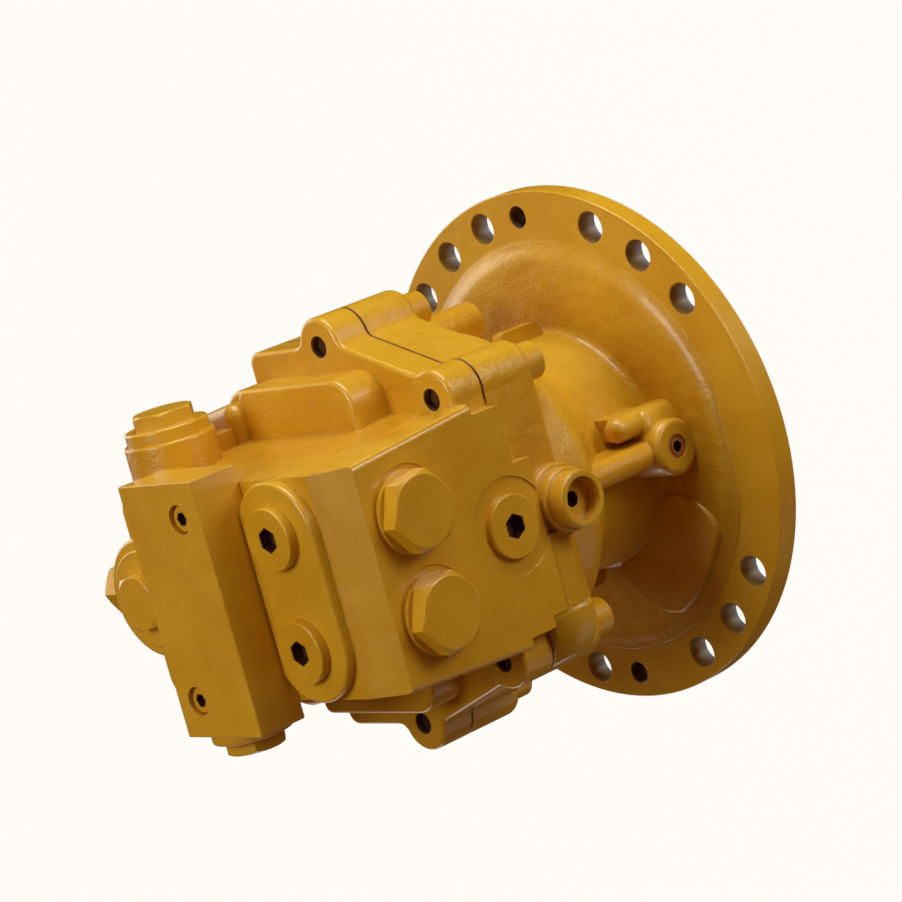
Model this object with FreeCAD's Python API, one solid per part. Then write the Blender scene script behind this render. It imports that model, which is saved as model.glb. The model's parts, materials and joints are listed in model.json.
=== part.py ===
# Hydraulic swing motor with parking brake, for the slewing drive of an excavator.
# Millimetres. Origin at the centre of the mounting face, +Z along the shaft axis away
# from the machine, +X out of the machined plug face. The shaft points along -Z.
import FreeCAD, Part
import os
from math import cos, pi, radians, sin, sqrt, tan

# Mounting flange
flange_radius = 170.0
flange_thickness = 15.0
bolt_edge_gap = 16.5
bolt_hole_radius = 10.5
bolt_angles = (35.0, 50.5, 66.0, 103.5, 119.0, 134.5)
jack_hole_radius = 7.4
jack_angle = 90.0
spigot_step = 18.5
spigot_height = 8.0
raised_disc_step = 17.5
raised_disc_height = 4.0
raised_disc_slope = 9.0
raised_disc_rounding = 16.0
round_pad_x = 65.5
round_pad_y = -72.5
round_pad_length = 99.0
round_pad_width = 79.0
round_pad_height = 3.0
round_pad_corner_rounding = 12.0

# Bell of the casing
bell_wall = 9.0
bell_foot_reach = 2.0
bell_foot_rounding = 5.0
bell_waist_z = 72.0
bell_waist_rounding = 30.0
bell_shoulder_z = 104.0
bell_shoulder_rounding = 16.0
collar_wall = 14.0
joint_z = 174.0
cavity_floor_z = 46.0
cavity_gap = 0.2
plate_chamber_z = 110.0
brake_step_z = 150.0
brake_step_width = 4.0

# Fins above and below the bell, and the stub beside the upper fin
fin_thickness = 7.0
fin_height = 12.0
fin_low_z = 23.0
fin_high_z = 62.0
fin_rounding = 8.0
stub_radius = 12.5
stub_low_z = 42.5
stub_angle = 110.0
stub_rounding = 5.0

# Screw ears round the joint, and the walls between them
ear_circle_radius = 121.0
ear_radius = 18.0
ear_fillet = 8.0
ear_side_angle = 42.3
ear_boss_z = 130.0
ear_side_overhang = 0.5
valley_angle = 69.4
valley_inset = 2.0
shoulder_outset = 1.0
shoulder_rounding = 8.0
left_shoulder_gap = 0.5
left_step_inset = 3.4
left_step_rounding = 4.5
casing_left_inset = 4.0
joint_rim_rounding = 6.0
valve_rim_rounding = 3.0
joint_groove = 0.8
screw_radius = 8.0
screw_tapped_radius = 7.0
screw_head_radius = 12.0
screw_head_height = 16.0
screw_head_room = 1.5
screw_socket_flats = 14.0
screw_tip_depth = 20.0
screw_face_margin = 3.0
dowel_radius = 5.0
dowel_depth = 9.0
dowel_wall = 5.4
dowel_angles = (31.0, -149.0)

# Flat pad on the side of the casing, below the tongue of the valve casing
side_pad_high_y = -16.0
side_pad_low_z = 140.0
side_pad_inset = 0.5
side_pad_rounding = 8.0

# Drain port and its cast passage
drain_z = 141.0
drain_reach = 16.0
drain_boss_radius = 17.3
drain_collar_radius = 19.8
drain_collar_reach = 4.0
drain_base_radius = 22.5
drain_base_reach = 5.0
drain_thread_radius = 13.3
drain_thread_depth = 10.5
drain_drill_radius = 5.0
passage_radius = 8.8
passage_x = 95.0
passage_plug_z = 33.0
passage_vent_z = 80.0
passage_boss_radius = 18.0
passage_boss_x = 108.0
passage_boss_rounding = 4.0
side_rib_radius = 8.0
side_rib_x = 89.0
side_rib_y = 20.0
side_rib_top_z = 68.0

# Small flush plug that closes the passage
passage_thread_radius = 4.5
passage_head_radius = 4.9
passage_washer_radius = 6.6
passage_recess_radius = 7.5
passage_recess_depth = 2.4
passage_washer_thickness = 1.0
passage_thread_length = 10.0
passage_plug_flats = 7.0

# Brake release port on the far side
brake_port_radius = 5.8
brake_port_depth = 12.0
brake_port_reach = 6.0
brake_port_boss_radius = 12.0
brake_port_drill_radius = 2.0
brake_port_rise = 1.2

# Valve casing
valve_flange_z = 199.0
hump_z = 226.0
rear_z = 304.0
plug_face_reach = 9.0
plug_face_half_width = 69.0
plug_face_rear_z = 291.0
rear_slope_run = 27.0
tongue_z = 161.0
tongue_low_y = -62.0
tongue_high_y = 33.0
hump_low_x = -57.0
hump_high_x = 50.0
hump_half_width = 105.0
hump_corner_rounding = 18.0
hump_rim_rounding = 3.0
far_block_z = 235.0
far_block_low_x = -101.0
far_block_high_x = -54.0
far_block_half_width = 100.0
far_block_end_half_width = 91.0
far_block_rounding = 8.0
shelf_half_width = 76.0
rear_half_width = 67.5
rear_body_x = -100.0
rear_body_taper = 4.0
rear_body_rounding = 16.0
port_pad_half_width = 70.0
port_pad_rounding = 8.0
duct_cross_x = 20.0
duct_shift_x = 6.0
duct_shift_y = 7.0
gauge_drill_radius = 4.0

# Rear pad with its two plugs and plungers
rear_pad_x = 55.6
rear_pad_half_pitch = 34.5
rear_pad_radius = 33.0
rear_pad_z = 311.0
plunger_bore_radius = 12.0
plunger_bore_z = 281.0
plunger_spring_hollow = 8.0
plunger_spring_depth = 7.0
plunger_body_length = 10.0
plunger_stem_length = 4.0
socket_flange_radius = 19.3
socket_flange_height = 6.5
side_flange_height = 3.8
socket_flats = 14.0
socket_depth = 8.0
socket_thread_radius = 14.5
socket_thread_length = 12.0

# Make-up check valves behind the plug face
make_up_half_pitch = 30.7
make_up_z = 259.0
make_up_bore_radius = 15.0
make_up_bore_depth = 54.0
make_up_seat_radius = 8.0
make_up_seat_length = 10.0
make_up_thread_length = 16.0
make_up_hollow_depth = 12.0
make_up_flats = 43.0
make_up_reach = 14.0
make_up_washer_radius = 25.0
make_up_washer_height = 3.5
make_up_turn = 8.0
spot_face_radius = 28.0
spot_face_depth = 0.8
side_spot_radius = 30.0

# Relief valves across the far side
relief_x = -71.0
relief_z = 273.0
relief_boss_radius = 28.5
relief_boss_y = 92.0
relief_bore_radius = 15.0
relief_seat_y = 34.0
relief_sleeve_length = 12.0
relief_thread_length = 22.0
relief_hollow_depth = 16.0
poppet_skirt_length = 10.0
poppet_hollow_radius = 9.0
poppet_crown = 2.0
seat_cone_depth = 3.5
relief_flange_radius = 26.0
relief_flange_height = 8.0
relief_flats = 36.0
relief_turn = 20.0
relief_head_height = 9.0
relief_web_half_width = 12.0

# Round boss on the far side
round_boss_x = -86.0
round_boss_radius = 38.0
round_boss_z = 308.0
round_plug_radius = 31.0
round_plug_height = 3.0
round_plug_flats = 34.0
round_plug_head_height = 9.0
round_plug_turn = 10.0
round_plug_thread_radius = 19.0
round_plug_thread_length = 13.0
gauge_plug_z = 281.0
gauge_plug_flats = 29.0
gauge_plug_end_x = -150.0
gauge_thread_radius = 10.0
gauge_thread_length = 16.0
gauge_flange_thickness = 4.0

# Reversal block
block_low_x = -44.9
block_high_x = 26.2
block_half_width = 78.6
block_thickness = 34.5
block_screw_x = 16.0
block_screw_y = 56.0
block_screw_head_radius = 8.0
block_screw_recess_radius = 9.2
block_screw_recess_depth = 12.0
block_screw_radius = 5.0
block_screw_flats = 8.0
block_port_half_pitch = 22.0
block_port_radius = 5.0
block_port_rise = 14.0
block_pad_gap = 1.4
block_screw_head_height = 10.0
block_screw_length = 22.0
block_screw_socket_depth = 5.0
block_seal_gap = 1.0
block_seal_width = 2.4
block_seal_depth = 1.8

# Side socket plug and main ports
side_plug_y = -2.0
side_plug_z = 187.0
side_thread_radius = 10.5
main_port_y = 43.0
main_port_z = 207.0
main_port_radius = 15.2
main_port_depth = 20.0
main_duct_radius = 12.0
duct_radius = 6.0

# Shaft and its bearings
shaft_end_z = -62.0
spline_root_radius = 22.3
spline_tip_radius = 25.0
spline_teeth = 22
spline_top_z = -14.0
seal_journal_radius = 28.0
bearing_journal_radius = 30.0
shaft_shoulder_radius = 34.0
inner_shaft_radius = 21.0
tail_step = 2.0
tail_z = 160.0
shaft_top_z = 196.0
seal_bore_radius = 40.0
seal_low_z = 0.0
seal_height = 11.0
seal_ring_z = -3.0
seal_ring_thickness = 1.8
bearing_bore_radius = 50.0
bearing_low_z = 16.0
bearing_height = 21.0
cone_low_radius = 34.0
cup_low_radius = 42.5
race_rise = 3.0
roller_count = 14
rear_sleeve_wall = 3.5
rear_needle_room = 4.2
rear_cup_wall = 4.3
rear_bearing_low_z = 176.0
rear_bearing_height = 18.0
needle_count = 14

# Swash plate and piston group
swash_angle = 16.0
swash_centre_z = 68.0
swash_blank_height = 60.0
swash_margin = 11.3
swash_pin_radius = 3.0
swash_pin_depth = 6.0
swash_pin_inset = 12.0
shoe_pad_radius = 12.5
shoe_pad_thickness = 4.0
shoe_neck_radius = 9.5
shoe_height = 13.0
ball_height = 9.0
ball_radius = 8.0
retainer_thickness = 4.0
retainer_margin = 4.5
retainer_ball_wall = 9.0
retainer_ball_low_z = 66.0
retainer_ball_high_z = 88.0
piston_count = 9
piston_radius = 10.5
piston_neck_radius = 5.0
piston_neck_length = 12.0
piston_length = 50.0
piston_hollow_radius = 6.0
piston_hollow_depth = 30.0
barrel_wall = 4.5
barrel_chamber_wall = 3.0
barrel_low_z = 103.0
barrel_high_z = 168.9
barrel_bore_top_z = 160.0
kidney_width = 10.0
barrel_spline_height = 3.0
barrel_spline_width = 10.0
barrel_spline_count = 8
barrel_spline_top_z = 141.0
valve_plate_margin = 13.0
valve_pin_radius = 3.0
valve_pin_inset = 6.0
valve_plate_low_z = 169.0
valve_kidney_half_angle = 66.0
spring_room = 8.5
spring_chamber_z = 124.0
spring_seat_thickness = 3.0
snap_ring_z = 157.0
snap_ring_thickness = 2.0
snap_ring_reach = 1.5
push_pin_radius = 2.2
push_pin_count = 3

# Parking brake
plate_thickness = 3.0
plate_gap = 0.3
friction_plate_count = 4
friction_plate_inset = 6.0
separator_gap = 3.0
separator_width = 22.0
separator_lug_angle = 30.0
separator_lug_reach = 3.0
separator_lug_width = 16.0
separator_lug_count = 6
brake_piston_top_z = 171.0
brake_seal_section = 3.0
brake_spring_count = 8
brake_spring_angle = 22.5
brake_pocket_wall = 5.5
brake_spring_gap = 1.0
brake_pocket_low_z = 155.0
brake_pocket_high_z = 188.0
joint_seal_land = 6.0
joint_seal_section = 2.6

# Clearances
running_gap = 0.05
fit_gap = 0.02
free_gap = 0.3
seat_gap = 0.4

# Radii that follow one another outwards from the shaft
tail_radius = inner_shaft_radius - tail_step
rear_sleeve_radius = tail_radius + rear_sleeve_wall
rear_cup_inner_radius = rear_sleeve_radius + rear_needle_room
rear_cup_radius = rear_cup_inner_radius + rear_cup_wall
retainer_ball_radius = inner_shaft_radius + retainer_ball_wall
spring_chamber_radius = inner_shaft_radius + spring_room
push_pin_circle_radius = (inner_shaft_radius + spring_chamber_radius) / 2
snap_ring_radius = spring_chamber_radius + snap_ring_reach
piston_circle_radius = spring_chamber_radius + barrel_chamber_wall + piston_radius
retainer_radius = piston_circle_radius + shoe_neck_radius + retainer_margin
valve_plate_radius = piston_circle_radius + valve_plate_margin
swash_radius = piston_circle_radius + shoe_pad_radius + swash_margin
swash_bore_radius = shaft_shoulder_radius
cavity_radius = swash_radius + cavity_gap
bell_waist_radius = cavity_radius + bell_wall
bell_foot_radius = bell_waist_radius + bell_foot_reach
barrel_radius = piston_circle_radius + piston_radius + barrel_wall
barrel_spline_radius = barrel_radius + barrel_spline_height
separator_inner_radius = barrel_spline_radius + separator_gap
brake_piston_inner_radius = separator_inner_radius
plate_chamber_radius = separator_inner_radius + separator_width
friction_plate_radius = plate_chamber_radius - friction_plate_inset
brake_bore_radius = plate_chamber_radius + brake_step_width
brake_spring_circle_radius = (brake_piston_inner_radius + brake_bore_radius) / 2
brake_pocket_radius = (brake_bore_radius - brake_piston_inner_radius) / 2 - brake_pocket_wall
brake_spring_radius = brake_pocket_radius - brake_spring_gap
joint_seal_radius = brake_bore_radius + joint_seal_land
dowel_circle_radius = joint_seal_radius + joint_seal_section + dowel_wall + dowel_radius
collar_radius = brake_bore_radius + collar_wall

# Radii of the flange, and walls round the joint
bolt_circle_radius = flange_radius - bolt_edge_gap
spigot_radius = bolt_circle_radius - spigot_step
raised_disc_radius = bolt_circle_radius - raised_disc_step
raised_top_radius = raised_disc_radius - raised_disc_slope
ear_angles = (90.0, ear_side_angle, -ear_side_angle, -90.0, ear_side_angle - 180.0, 180.0 - ear_side_angle)
ear_side_x = ear_circle_radius * cos(radians(ear_side_angle))
side_x = ear_side_x + ear_radius - ear_side_overhang
left_x = -side_x
left_shoulder_x = ear_radius + left_shoulder_gap - ear_side_x
left_step_y = ear_circle_radius * sin(radians(ear_side_angle)) + ear_radius - left_step_inset
valley_distance = ear_circle_radius - valley_inset
shoulder_y = ear_circle_radius + shoulder_outset
plug_face_x = side_x + plug_face_reach
drain_end_x = plug_face_x + drain_reach
drain_collar_x = plug_face_x + drain_collar_reach
drain_base_x = side_x + drain_base_reach
brake_port_end_x = left_x - brake_port_reach
make_up_bore_x = plug_face_x - make_up_bore_depth
make_up_end_x = plug_face_x + make_up_reach

# Heights and places that follow from the ones above
tilt = radians(swash_angle)
disc_z = flange_thickness + raised_disc_height
ball_centre_z = swash_centre_z + ball_height / cos(tilt)
plate_pitch = plate_thickness + plate_gap
stack_top_z = plate_chamber_z + (2 * friction_plate_count + 1) * plate_pitch - plate_gap
brake_piston_low_z = stack_top_z + plate_gap
block_top_z = rear_z + block_thickness
block_centre_x = (block_low_x + block_high_x) / 2
pocket_floor_x = passage_boss_x - passage_recess_depth
release_z = brake_step_z + brake_port_rise


def point(x, y, z):
    return FreeCAD.Vector(x, y, z)


def polar(radius, degrees):
    return radius * cos(radians(degrees)), radius * sin(radians(degrees))


# A straight round bar between two points
def bar(radius, start, end):
    way = point(*end) - point(*start)
    return Part.makeCylinder(radius, way.Length, point(*start), way)


def disc(radius, low_z, high_z, x=0.0, y=0.0):
    return bar(radius, (x, y, low_z), (x, y, high_z))


def ring(inner, outer, low_z, high_z):
    return disc(outer, low_z, high_z).cut(disc(inner, low_z - 1, high_z + 1))


def box(low_x, high_x, low_y, high_y, low_z, high_z):
    size = (high_x - low_x, high_y - low_y, high_z - low_z)
    return Part.makeBox(*size, point(low_x, low_y, low_z))


def join(shapes):
    first, *rest = shapes
    return first.fuse(rest).removeSplitter() if rest else first


# The tangent arc (start, middle, end) that rounds a corner between two others
def corner_arc(before, here, after, radius):
    if radius == 0:
        return here, here, here
    back = (before - here).normalize()
    on = (after - here).normalize()
    half = back.getAngle(on) / 2
    reach = radius / tan(half)
    bulge = here + (back + on).normalize() * (radius / sin(half) - radius)
    return here + back * reach, bulge, here + on * reach


# A closed wire through arcs (start, middle, end), with a straight line from each to the next
def arc_wire(arcs, place):
    edges = []
    for index, (start, bulge, end) in enumerate(arcs):
        last_end = arcs[index - 1][2]
        if last_end.distanceToPoint(start) > 1e-6:
            edges.append(Part.makeLine(place(last_end), place(start)))
        if start.distanceToPoint(end) > 1e-6:
            edges.append(Part.Arc(place(start), place(bulge), place(end)).toShape())
    return Part.Wire(edges)


# A closed wire through corners (u, v, radius), each rounded by a tangent arc
def rounded_wire(corners, place):
    places = [point(u, v, 0) for u, v, radius in corners]
    arcs = []
    for index, corner in enumerate(corners):
        after = places[(index + 1) % len(places)]
        arcs.append(corner_arc(places[index - 1], places[index], after, corner[2]))
    return arc_wire(arcs, place)


# A rounded outline in the XY plane, raised between two heights
def plate(corners, low_z, high_z):
    wire = rounded_wire(corners, lambda p: point(p.x, p.y, low_z))
    return Part.Face(wire).extrude(point(0, 0, high_z - low_z))


# A rounded half section (radius, z, rounding) turned about the shaft axis
def turned(corners):
    wire = rounded_wire(corners, lambda p: point(p.x, 0, p.y))
    return Part.Face(wire).revolve(point(0, 0, 0), point(0, 0, 1), 360)


# A hexagonal bar, measured across its flats
def hexagon(flats, start, end, turn=0.0):
    way = point(*end) - point(*start)
    radius = flats / sqrt(3)
    corners = []
    for step in range(7):
        x, y = polar(radius, turn + 60 * step)
        corners.append(point(x, y, 0))
    prism = Part.Face(Part.makePolygon(corners)).extrude(point(0, 0, way.Length))
    prism.Placement = FreeCAD.Placement(point(*start), FreeCAD.Rotation(point(0, 0, 1), way))
    return prism


# A hexagon head whose outer corners are turned down, as on a forged plug
def hexagon_head(flats, start, end, turn=0.0):
    way = point(*end) - point(*start)
    height = way.Length
    crown = flats * 0.5
    cone = Part.makeCone(crown + height * 1.7, crown * 0.98, height, point(*start), way)
    return hexagon(flats, start, end, turn).common(cone)


def around(shape, count, start=0.0):
    copies = []
    for step in range(count):
        copy = shape.copy()
        copy.rotate(point(0, 0, 0), point(0, 0, 1), start + 360.0 * step / count)
        copies.append(copy)
    return copies


def flipped(shape):
    return shape.mirror(point(0, 0, 0), point(0, 1, 0))


def both_sides(shape):
    return [shape, flipped(shape)]


# A coil spring of flat wire along +Z, with its end coils ground flat
def coil_spring(outer_radius, wire_width, wire_height, low_z, high_z, turns):
    mean = outer_radius - wire_width / 2
    length = high_z - low_z
    pitch = (length - wire_height) / turns
    rise = pitch * (turns + 1)
    path = Part.makeHelix(pitch, rise, mean)
    half_width = wire_width / 2
    half_height = wire_height / 2
    corners = [point(mean + u * half_width, 0, v * half_height)
               for u, v in ((-1, -1), (1, -1), (1, 1), (-1, 1), (-1, -1))]
    coil = Part.Wire(path.Edges).makePipeShell([Part.makePolygon(corners)], True, True)
    coil.translate(point(0, 0, low_z + half_height - pitch / 2))
    return coil.common(disc(outer_radius + 1, low_z, high_z))


def laid_along(shape, start, way):
    copy = shape.copy()
    copy.Placement = FreeCAD.Placement(point(*start), FreeCAD.Rotation(point(0, 0, 1), point(*way)))
    return copy


# A bent slot on a circle about the shaft axis
def kidney(circle_radius, width, half_angle, low_z, high_z):
    half = width / 2
    body = ring(circle_radius - half, circle_radius + half, low_z, high_z)
    reach = circle_radius * 3
    if half_angle < 89:
        x, y = polar(reach, half_angle)
        wedge = Part.makePolygon([point(0, 0, low_z), point(x, -y, low_z), point(reach * 2, 0, low_z),
                                  point(x, y, low_z), point(0, 0, low_z)])
        body = body.common(Part.Face(wedge).extrude(point(0, 0, high_z - low_z)))
    ends = []
    for sign in (-1, 1):
        x, y = polar(circle_radius, sign * half_angle)
        ends.append(disc(half, low_z, high_z, x, y))
    return join([body] + ends)


# One screw ear of the joint outline, blended into the walls before and after it.
# A wall is the angle of its outward normal and its distance from the shaft axis.
def ear_arcs(before, ear_angle, after):
    centre = point(*polar(ear_circle_radius, ear_angle), 0)
    blends = []
    for side, (wall_angle, distance) in ((-1, before), (1, after)):
        normal = point(*polar(1, wall_angle), 0)
        along = point(-normal.y, normal.x, 0)
        rise = distance + ear_fillet - centre.dot(normal)
        run = side * sqrt((ear_radius + ear_fillet) ** 2 - rise ** 2)
        hollow = centre + normal * rise + along * run
        on_wall = hollow - normal * ear_fillet
        on_ear = centre + (hollow - centre) * (ear_radius / (ear_radius + ear_fillet))
        middle = hollow + ((on_wall + on_ear) * 0.5 - hollow).normalize() * ear_fillet
        blends.append((on_wall, middle, on_ear))
    first, second = blends
    crown = centre + ((first[2] + second[2]) * 0.5 - centre).normalize() * ear_radius
    return [first, (first[2], crown, second[2]), second[::-1]]


# Outline of the joint between casing and valve casing, as arcs joined by straight walls
def joint_outline(far_x):
    side = (0.0, side_x)
    valley = (valley_angle, valley_distance)
    shoulder = (90.0, shoulder_y)
    step = (90.0, left_step_y)
    far = (180.0, -far_x)
    start = point(0, shoulder_y, 0)
    corner = point(left_shoulder_x, shoulder_y, 0)
    inner = point(left_shoulder_x, left_step_y, 0)
    end = point(far_x, left_step_y, 0)
    upper = ear_arcs(side, ear_angles[1], valley) + ear_arcs(valley, ear_angles[0], shoulder)
    upper.append(corner_arc(start, corner, inner, shoulder_rounding))
    upper.append(corner_arc(corner, inner, end, left_step_rounding))
    upper += ear_arcs(step, ear_angles[5], far)
    lower = []
    for arc in reversed(upper):
        lower.append(tuple(point(p.x, -p.y, 0) for p in reversed(arc)))
    return upper + lower


# Plate on the joint outline: its outer rim is rounded, its joint rim broken to a fine groove
def joint_plate(far_x, rim_z, rounding):
    wire = arc_wire(joint_outline(far_x), lambda p: point(p.x, p.y, joint_z))
    body = Part.Face(wire).extrude(point(0, 0, rim_z - joint_z))
    body = body.makeFillet(rounding, edges_at(body, rim_z))
    return body.makeChamfer(joint_groove, edges_at(body, joint_z))


# The edges of a shape that lie in one level plane
def edges_at(shape, z):
    return [edge for edge in shape.Edges if abs(edge.BoundBox.ZMin - z) + abs(edge.BoundBox.ZMax - z) < 0.01]


# Outside of the casing: flange, raised disc, bell and collar in one turned section
def casing_bell():
    return turned([
        (0, -spigot_height, 0), (spigot_radius, -spigot_height, 1.5), (spigot_radius, 0, 0),
        (flange_radius, 0, 1.0), (flange_radius, flange_thickness, 1.0),
        (raised_disc_radius, flange_thickness, raised_disc_rounding),
        (raised_top_radius, disc_z, raised_disc_rounding),
        (bell_foot_radius, disc_z, bell_foot_rounding),
        (bell_waist_radius, bell_waist_z, bell_waist_rounding),
        (collar_radius, bell_shoulder_z, bell_shoulder_rounding),
        (collar_radius, joint_z, 0), (0, joint_z, 0)])


# Low oval pad on the raised disc
def round_pad():
    rounding = round_pad_width / 2 - 0.1
    low_x = round_pad_x - round_pad_length / 2
    high_x = round_pad_x + round_pad_length / 2
    low_y = round_pad_y - round_pad_width / 2
    high_y = round_pad_y + round_pad_width / 2
    corners = [(low_x, low_y, rounding), (high_x, low_y, rounding),
               (high_x, high_y, rounding), (low_x, high_y, rounding)]
    top_z = disc_z + round_pad_height
    pad = plate(corners, disc_z - 1, top_z).common(disc(raised_top_radius, disc_z - 1, top_z))
    trimmed = [edge for edge in pad.Edges if edge.BoundBox.ZLength > round_pad_height
               and abs(edge.CenterOfMass.x ** 2 + edge.CenterOfMass.y ** 2 - raised_top_radius ** 2) < 1]
    pad = pad.makeFillet(round_pad_corner_rounding, trimmed)
    return pad.makeFillet(round_pad_height * 0.9, edges_at(pad, top_z))


# Drain port boss with its two collars
def drain_boss():
    boss = bar(drain_boss_radius, (0, 0, drain_z), (drain_end_x, 0, drain_z))
    boss = boss.makeFillet(1.5, [edge for edge in boss.Edges if edge.BoundBox.XMin > drain_end_x - 1])
    pieces = [boss]
    for radius, end_x in ((drain_collar_radius, drain_collar_x), (drain_base_radius, drain_base_x)):
        collar = bar(radius, (0, 0, drain_z), (end_x, 0, drain_z))
        rim = [edge for edge in collar.Edges if edge.BoundBox.XMin > end_x - 1]
        pieces.append(collar.makeFillet(1.5, rim))
    return pieces


# Passage cast down the bell from the drain port to the small plug, and the short rib beside it
def cast_passage():
    low = (passage_x, 0, passage_plug_z)
    passage = bar(passage_radius, low, (passage_x, 0, drain_z))
    web = box(0, passage_x, -passage_radius, passage_radius, passage_plug_z, drain_z)
    foot = bar(passage_boss_radius, (0, 0, passage_plug_z), (passage_boss_x, 0, passage_plug_z))
    rim = [edge for edge in foot.Edges if edge.BoundBox.XMin > passage_boss_x - 1]
    foot = foot.makeFillet(passage_boss_rounding, rim)
    rib = disc(side_rib_radius, passage_plug_z, side_rib_top_z, side_rib_x, side_rib_y)
    rib = rib.makeFillet(side_rib_radius * 0.8, edges_at(rib, side_rib_top_z))
    rib_web = box(0, side_rib_x, side_rib_y - side_rib_radius * 0.9, side_rib_y + side_rib_radius * 0.9,
                  passage_plug_z, side_rib_top_z - side_rib_radius * 0.8)
    root = bar(side_rib_radius, (side_rib_x, 0, passage_plug_z), (side_rib_x, side_rib_y, passage_plug_z))
    return [passage, web, foot, rib, rib_web, root]


# Thin fin beside the bell, at the +Y side
def bell_fin():
    reach = bell_waist_radius + fin_height
    corners = [(0, fin_low_z, 0), (reach, fin_low_z, fin_rounding), (reach, fin_high_z, fin_rounding),
               (0, fin_high_z, 0)]
    wire = rounded_wire(corners, lambda p: point(-fin_thickness / 2, p.x, p.y))
    return Part.Face(wire).extrude(point(fin_thickness, 0, 0))


def side_pad():
    end_x = plug_face_x - side_pad_inset
    pad = box(0, end_x, tongue_low_y, side_pad_high_y, side_pad_low_z, tongue_z - 2 * free_gap)
    lower_rim = [edge for edge in edges_at(pad, side_pad_low_z) if edge.BoundBox.XMin > end_x - 1]
    return pad.makeFillet(side_pad_rounding, lower_rim)


def casing():
    stub_x, stub_y = polar(ear_circle_radius - ear_radius, stub_angle)
    stub = disc(stub_radius, stub_low_z, ear_boss_z + joint_rim_rounding + 1, stub_x, stub_y)
    stub = stub.makeFillet(stub_rounding, edges_at(stub, stub_low_z))
    release_boss = bar(brake_port_boss_radius, (0, 0, release_z), (brake_port_end_x, 0, release_z))
    flange = joint_plate(left_x + casing_left_inset, ear_boss_z, joint_rim_rounding)
    body = join([casing_bell(), flange, round_pad(), side_pad(), stub, release_boss]
                + drain_boss() + cast_passage() + both_sides(bell_fin()))
    return body.cut(casing_cuts())


# Inside of the casing: seal bore, bearing bore, swash floor, plate chamber and brake bore
def casing_cavity():
    return turned([
        (0, -spigot_height - 1, 0), (seal_bore_radius, -spigot_height - 1, 0),
        (seal_bore_radius, seal_height + fit_gap, 0), (shaft_shoulder_radius, seal_height + fit_gap, 0),
        (shaft_shoulder_radius, bearing_low_z, 0), (bearing_bore_radius, bearing_low_z, 0),
        (bearing_bore_radius, cavity_floor_z, 0), (cavity_radius, cavity_floor_z, 0),
        (cavity_radius, plate_chamber_z, 0), (plate_chamber_radius, plate_chamber_z, 0),
        (plate_chamber_radius, brake_step_z, 0), (brake_bore_radius, brake_step_z, 0),
        (brake_bore_radius, joint_z + 1, 0), (0, joint_z + 1, 0)])


def casing_cuts():
    cuts = [casing_cavity()]
    cuts.append(ring(seal_bore_radius - 1, seal_bore_radius + 2, seal_ring_z - fit_gap,
                     seal_ring_z + seal_ring_thickness + fit_gap))
    slot_reach = plate_chamber_radius + separator_lug_reach
    slot_half = separator_lug_width / 2 + free_gap
    slot = box(plate_chamber_radius - 4, slot_reach + free_gap, -slot_half, slot_half,
               plate_chamber_z, stack_top_z + free_gap)
    cuts += around(slot, separator_lug_count, separator_lug_angle)
    cuts.append(ring(joint_seal_radius - joint_seal_section, joint_seal_radius + joint_seal_section,
                     joint_z - joint_seal_section, joint_z + 1))

    # Flange holes and jacking threads, then the screws, dowels and swash plate pins
    for side in (1, -1):
        for angle in bolt_angles:
            place = polar(bolt_circle_radius, side * angle)
            cuts.append(disc(bolt_hole_radius, -1, flange_thickness + 1, *place))
        place = polar(bolt_circle_radius, side * jack_angle)
        cuts.append(disc(jack_hole_radius, -1, flange_thickness + 1, *place))
    for angle in ear_angles:
        x, y = polar(ear_circle_radius, angle)
        cuts.append(disc(screw_radius + free_gap, ear_boss_z - 1, joint_z + 1, x, y))
        head_z = ear_boss_z - screw_head_height
        cuts.append(disc(screw_head_radius + screw_head_room, head_z - 4, ear_boss_z, x, y))
    for x, y in dowel_places():
        cuts.append(disc(dowel_radius + fit_gap, joint_z - dowel_depth, joint_z + 1, x, y))
    for x, y in swash_pin_places():
        pin_z = cavity_floor_z - swash_pin_depth
        cuts.append(disc(swash_pin_radius + fit_gap, pin_z, cavity_floor_z + 1, x, y))

    # Drain port, its passage down to the small plug, and the way in from the cavity
    thread_x = drain_end_x - drain_thread_depth
    low = (passage_x, 0, passage_plug_z)
    recess_end = (passage_boss_x + 1, 0, passage_plug_z)
    cuts.append(bar(drain_thread_radius, (thread_x, 0, drain_z), (drain_end_x + 1, 0, drain_z)))
    cuts.append(bar(drain_drill_radius, (passage_x - 1, 0, drain_z), (drain_end_x, 0, drain_z)))
    cuts.append(bar(drain_drill_radius, low, (passage_x, 0, drain_z)))
    cuts.append(bar(passage_thread_radius + fit_gap, low, recess_end))
    cuts.append(bar(passage_recess_radius, (pocket_floor_x, 0, passage_plug_z), recess_end))
    vent_end = (passage_x, 0, passage_vent_z)
    cuts.append(bar(drain_drill_radius, (cavity_radius - 2, 0, passage_vent_z), vent_end))

    # Room for the tongue of the valve casing, and the brake release port
    cuts.append(box(side_x, plug_face_x + 1, tongue_low_y - free_gap, tongue_high_y + free_gap,
                    tongue_z - 2 * free_gap, joint_z + 1))
    tapped_x = brake_port_end_x + brake_port_depth
    cuts.append(bar(brake_port_radius, (brake_port_end_x - 1, 0, release_z), (tapped_x, 0, release_z)))
    cuts.append(bar(brake_port_drill_radius, (tapped_x, 0, release_z), (1 - brake_bore_radius, 0, release_z)))
    return cuts


def dowel_places():
    return [polar(dowel_circle_radius, angle) for angle in dowel_angles]


def swash_pin_places():
    return [(0.0, side * (swash_radius - swash_pin_inset)) for side in (1, -1)]


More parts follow.
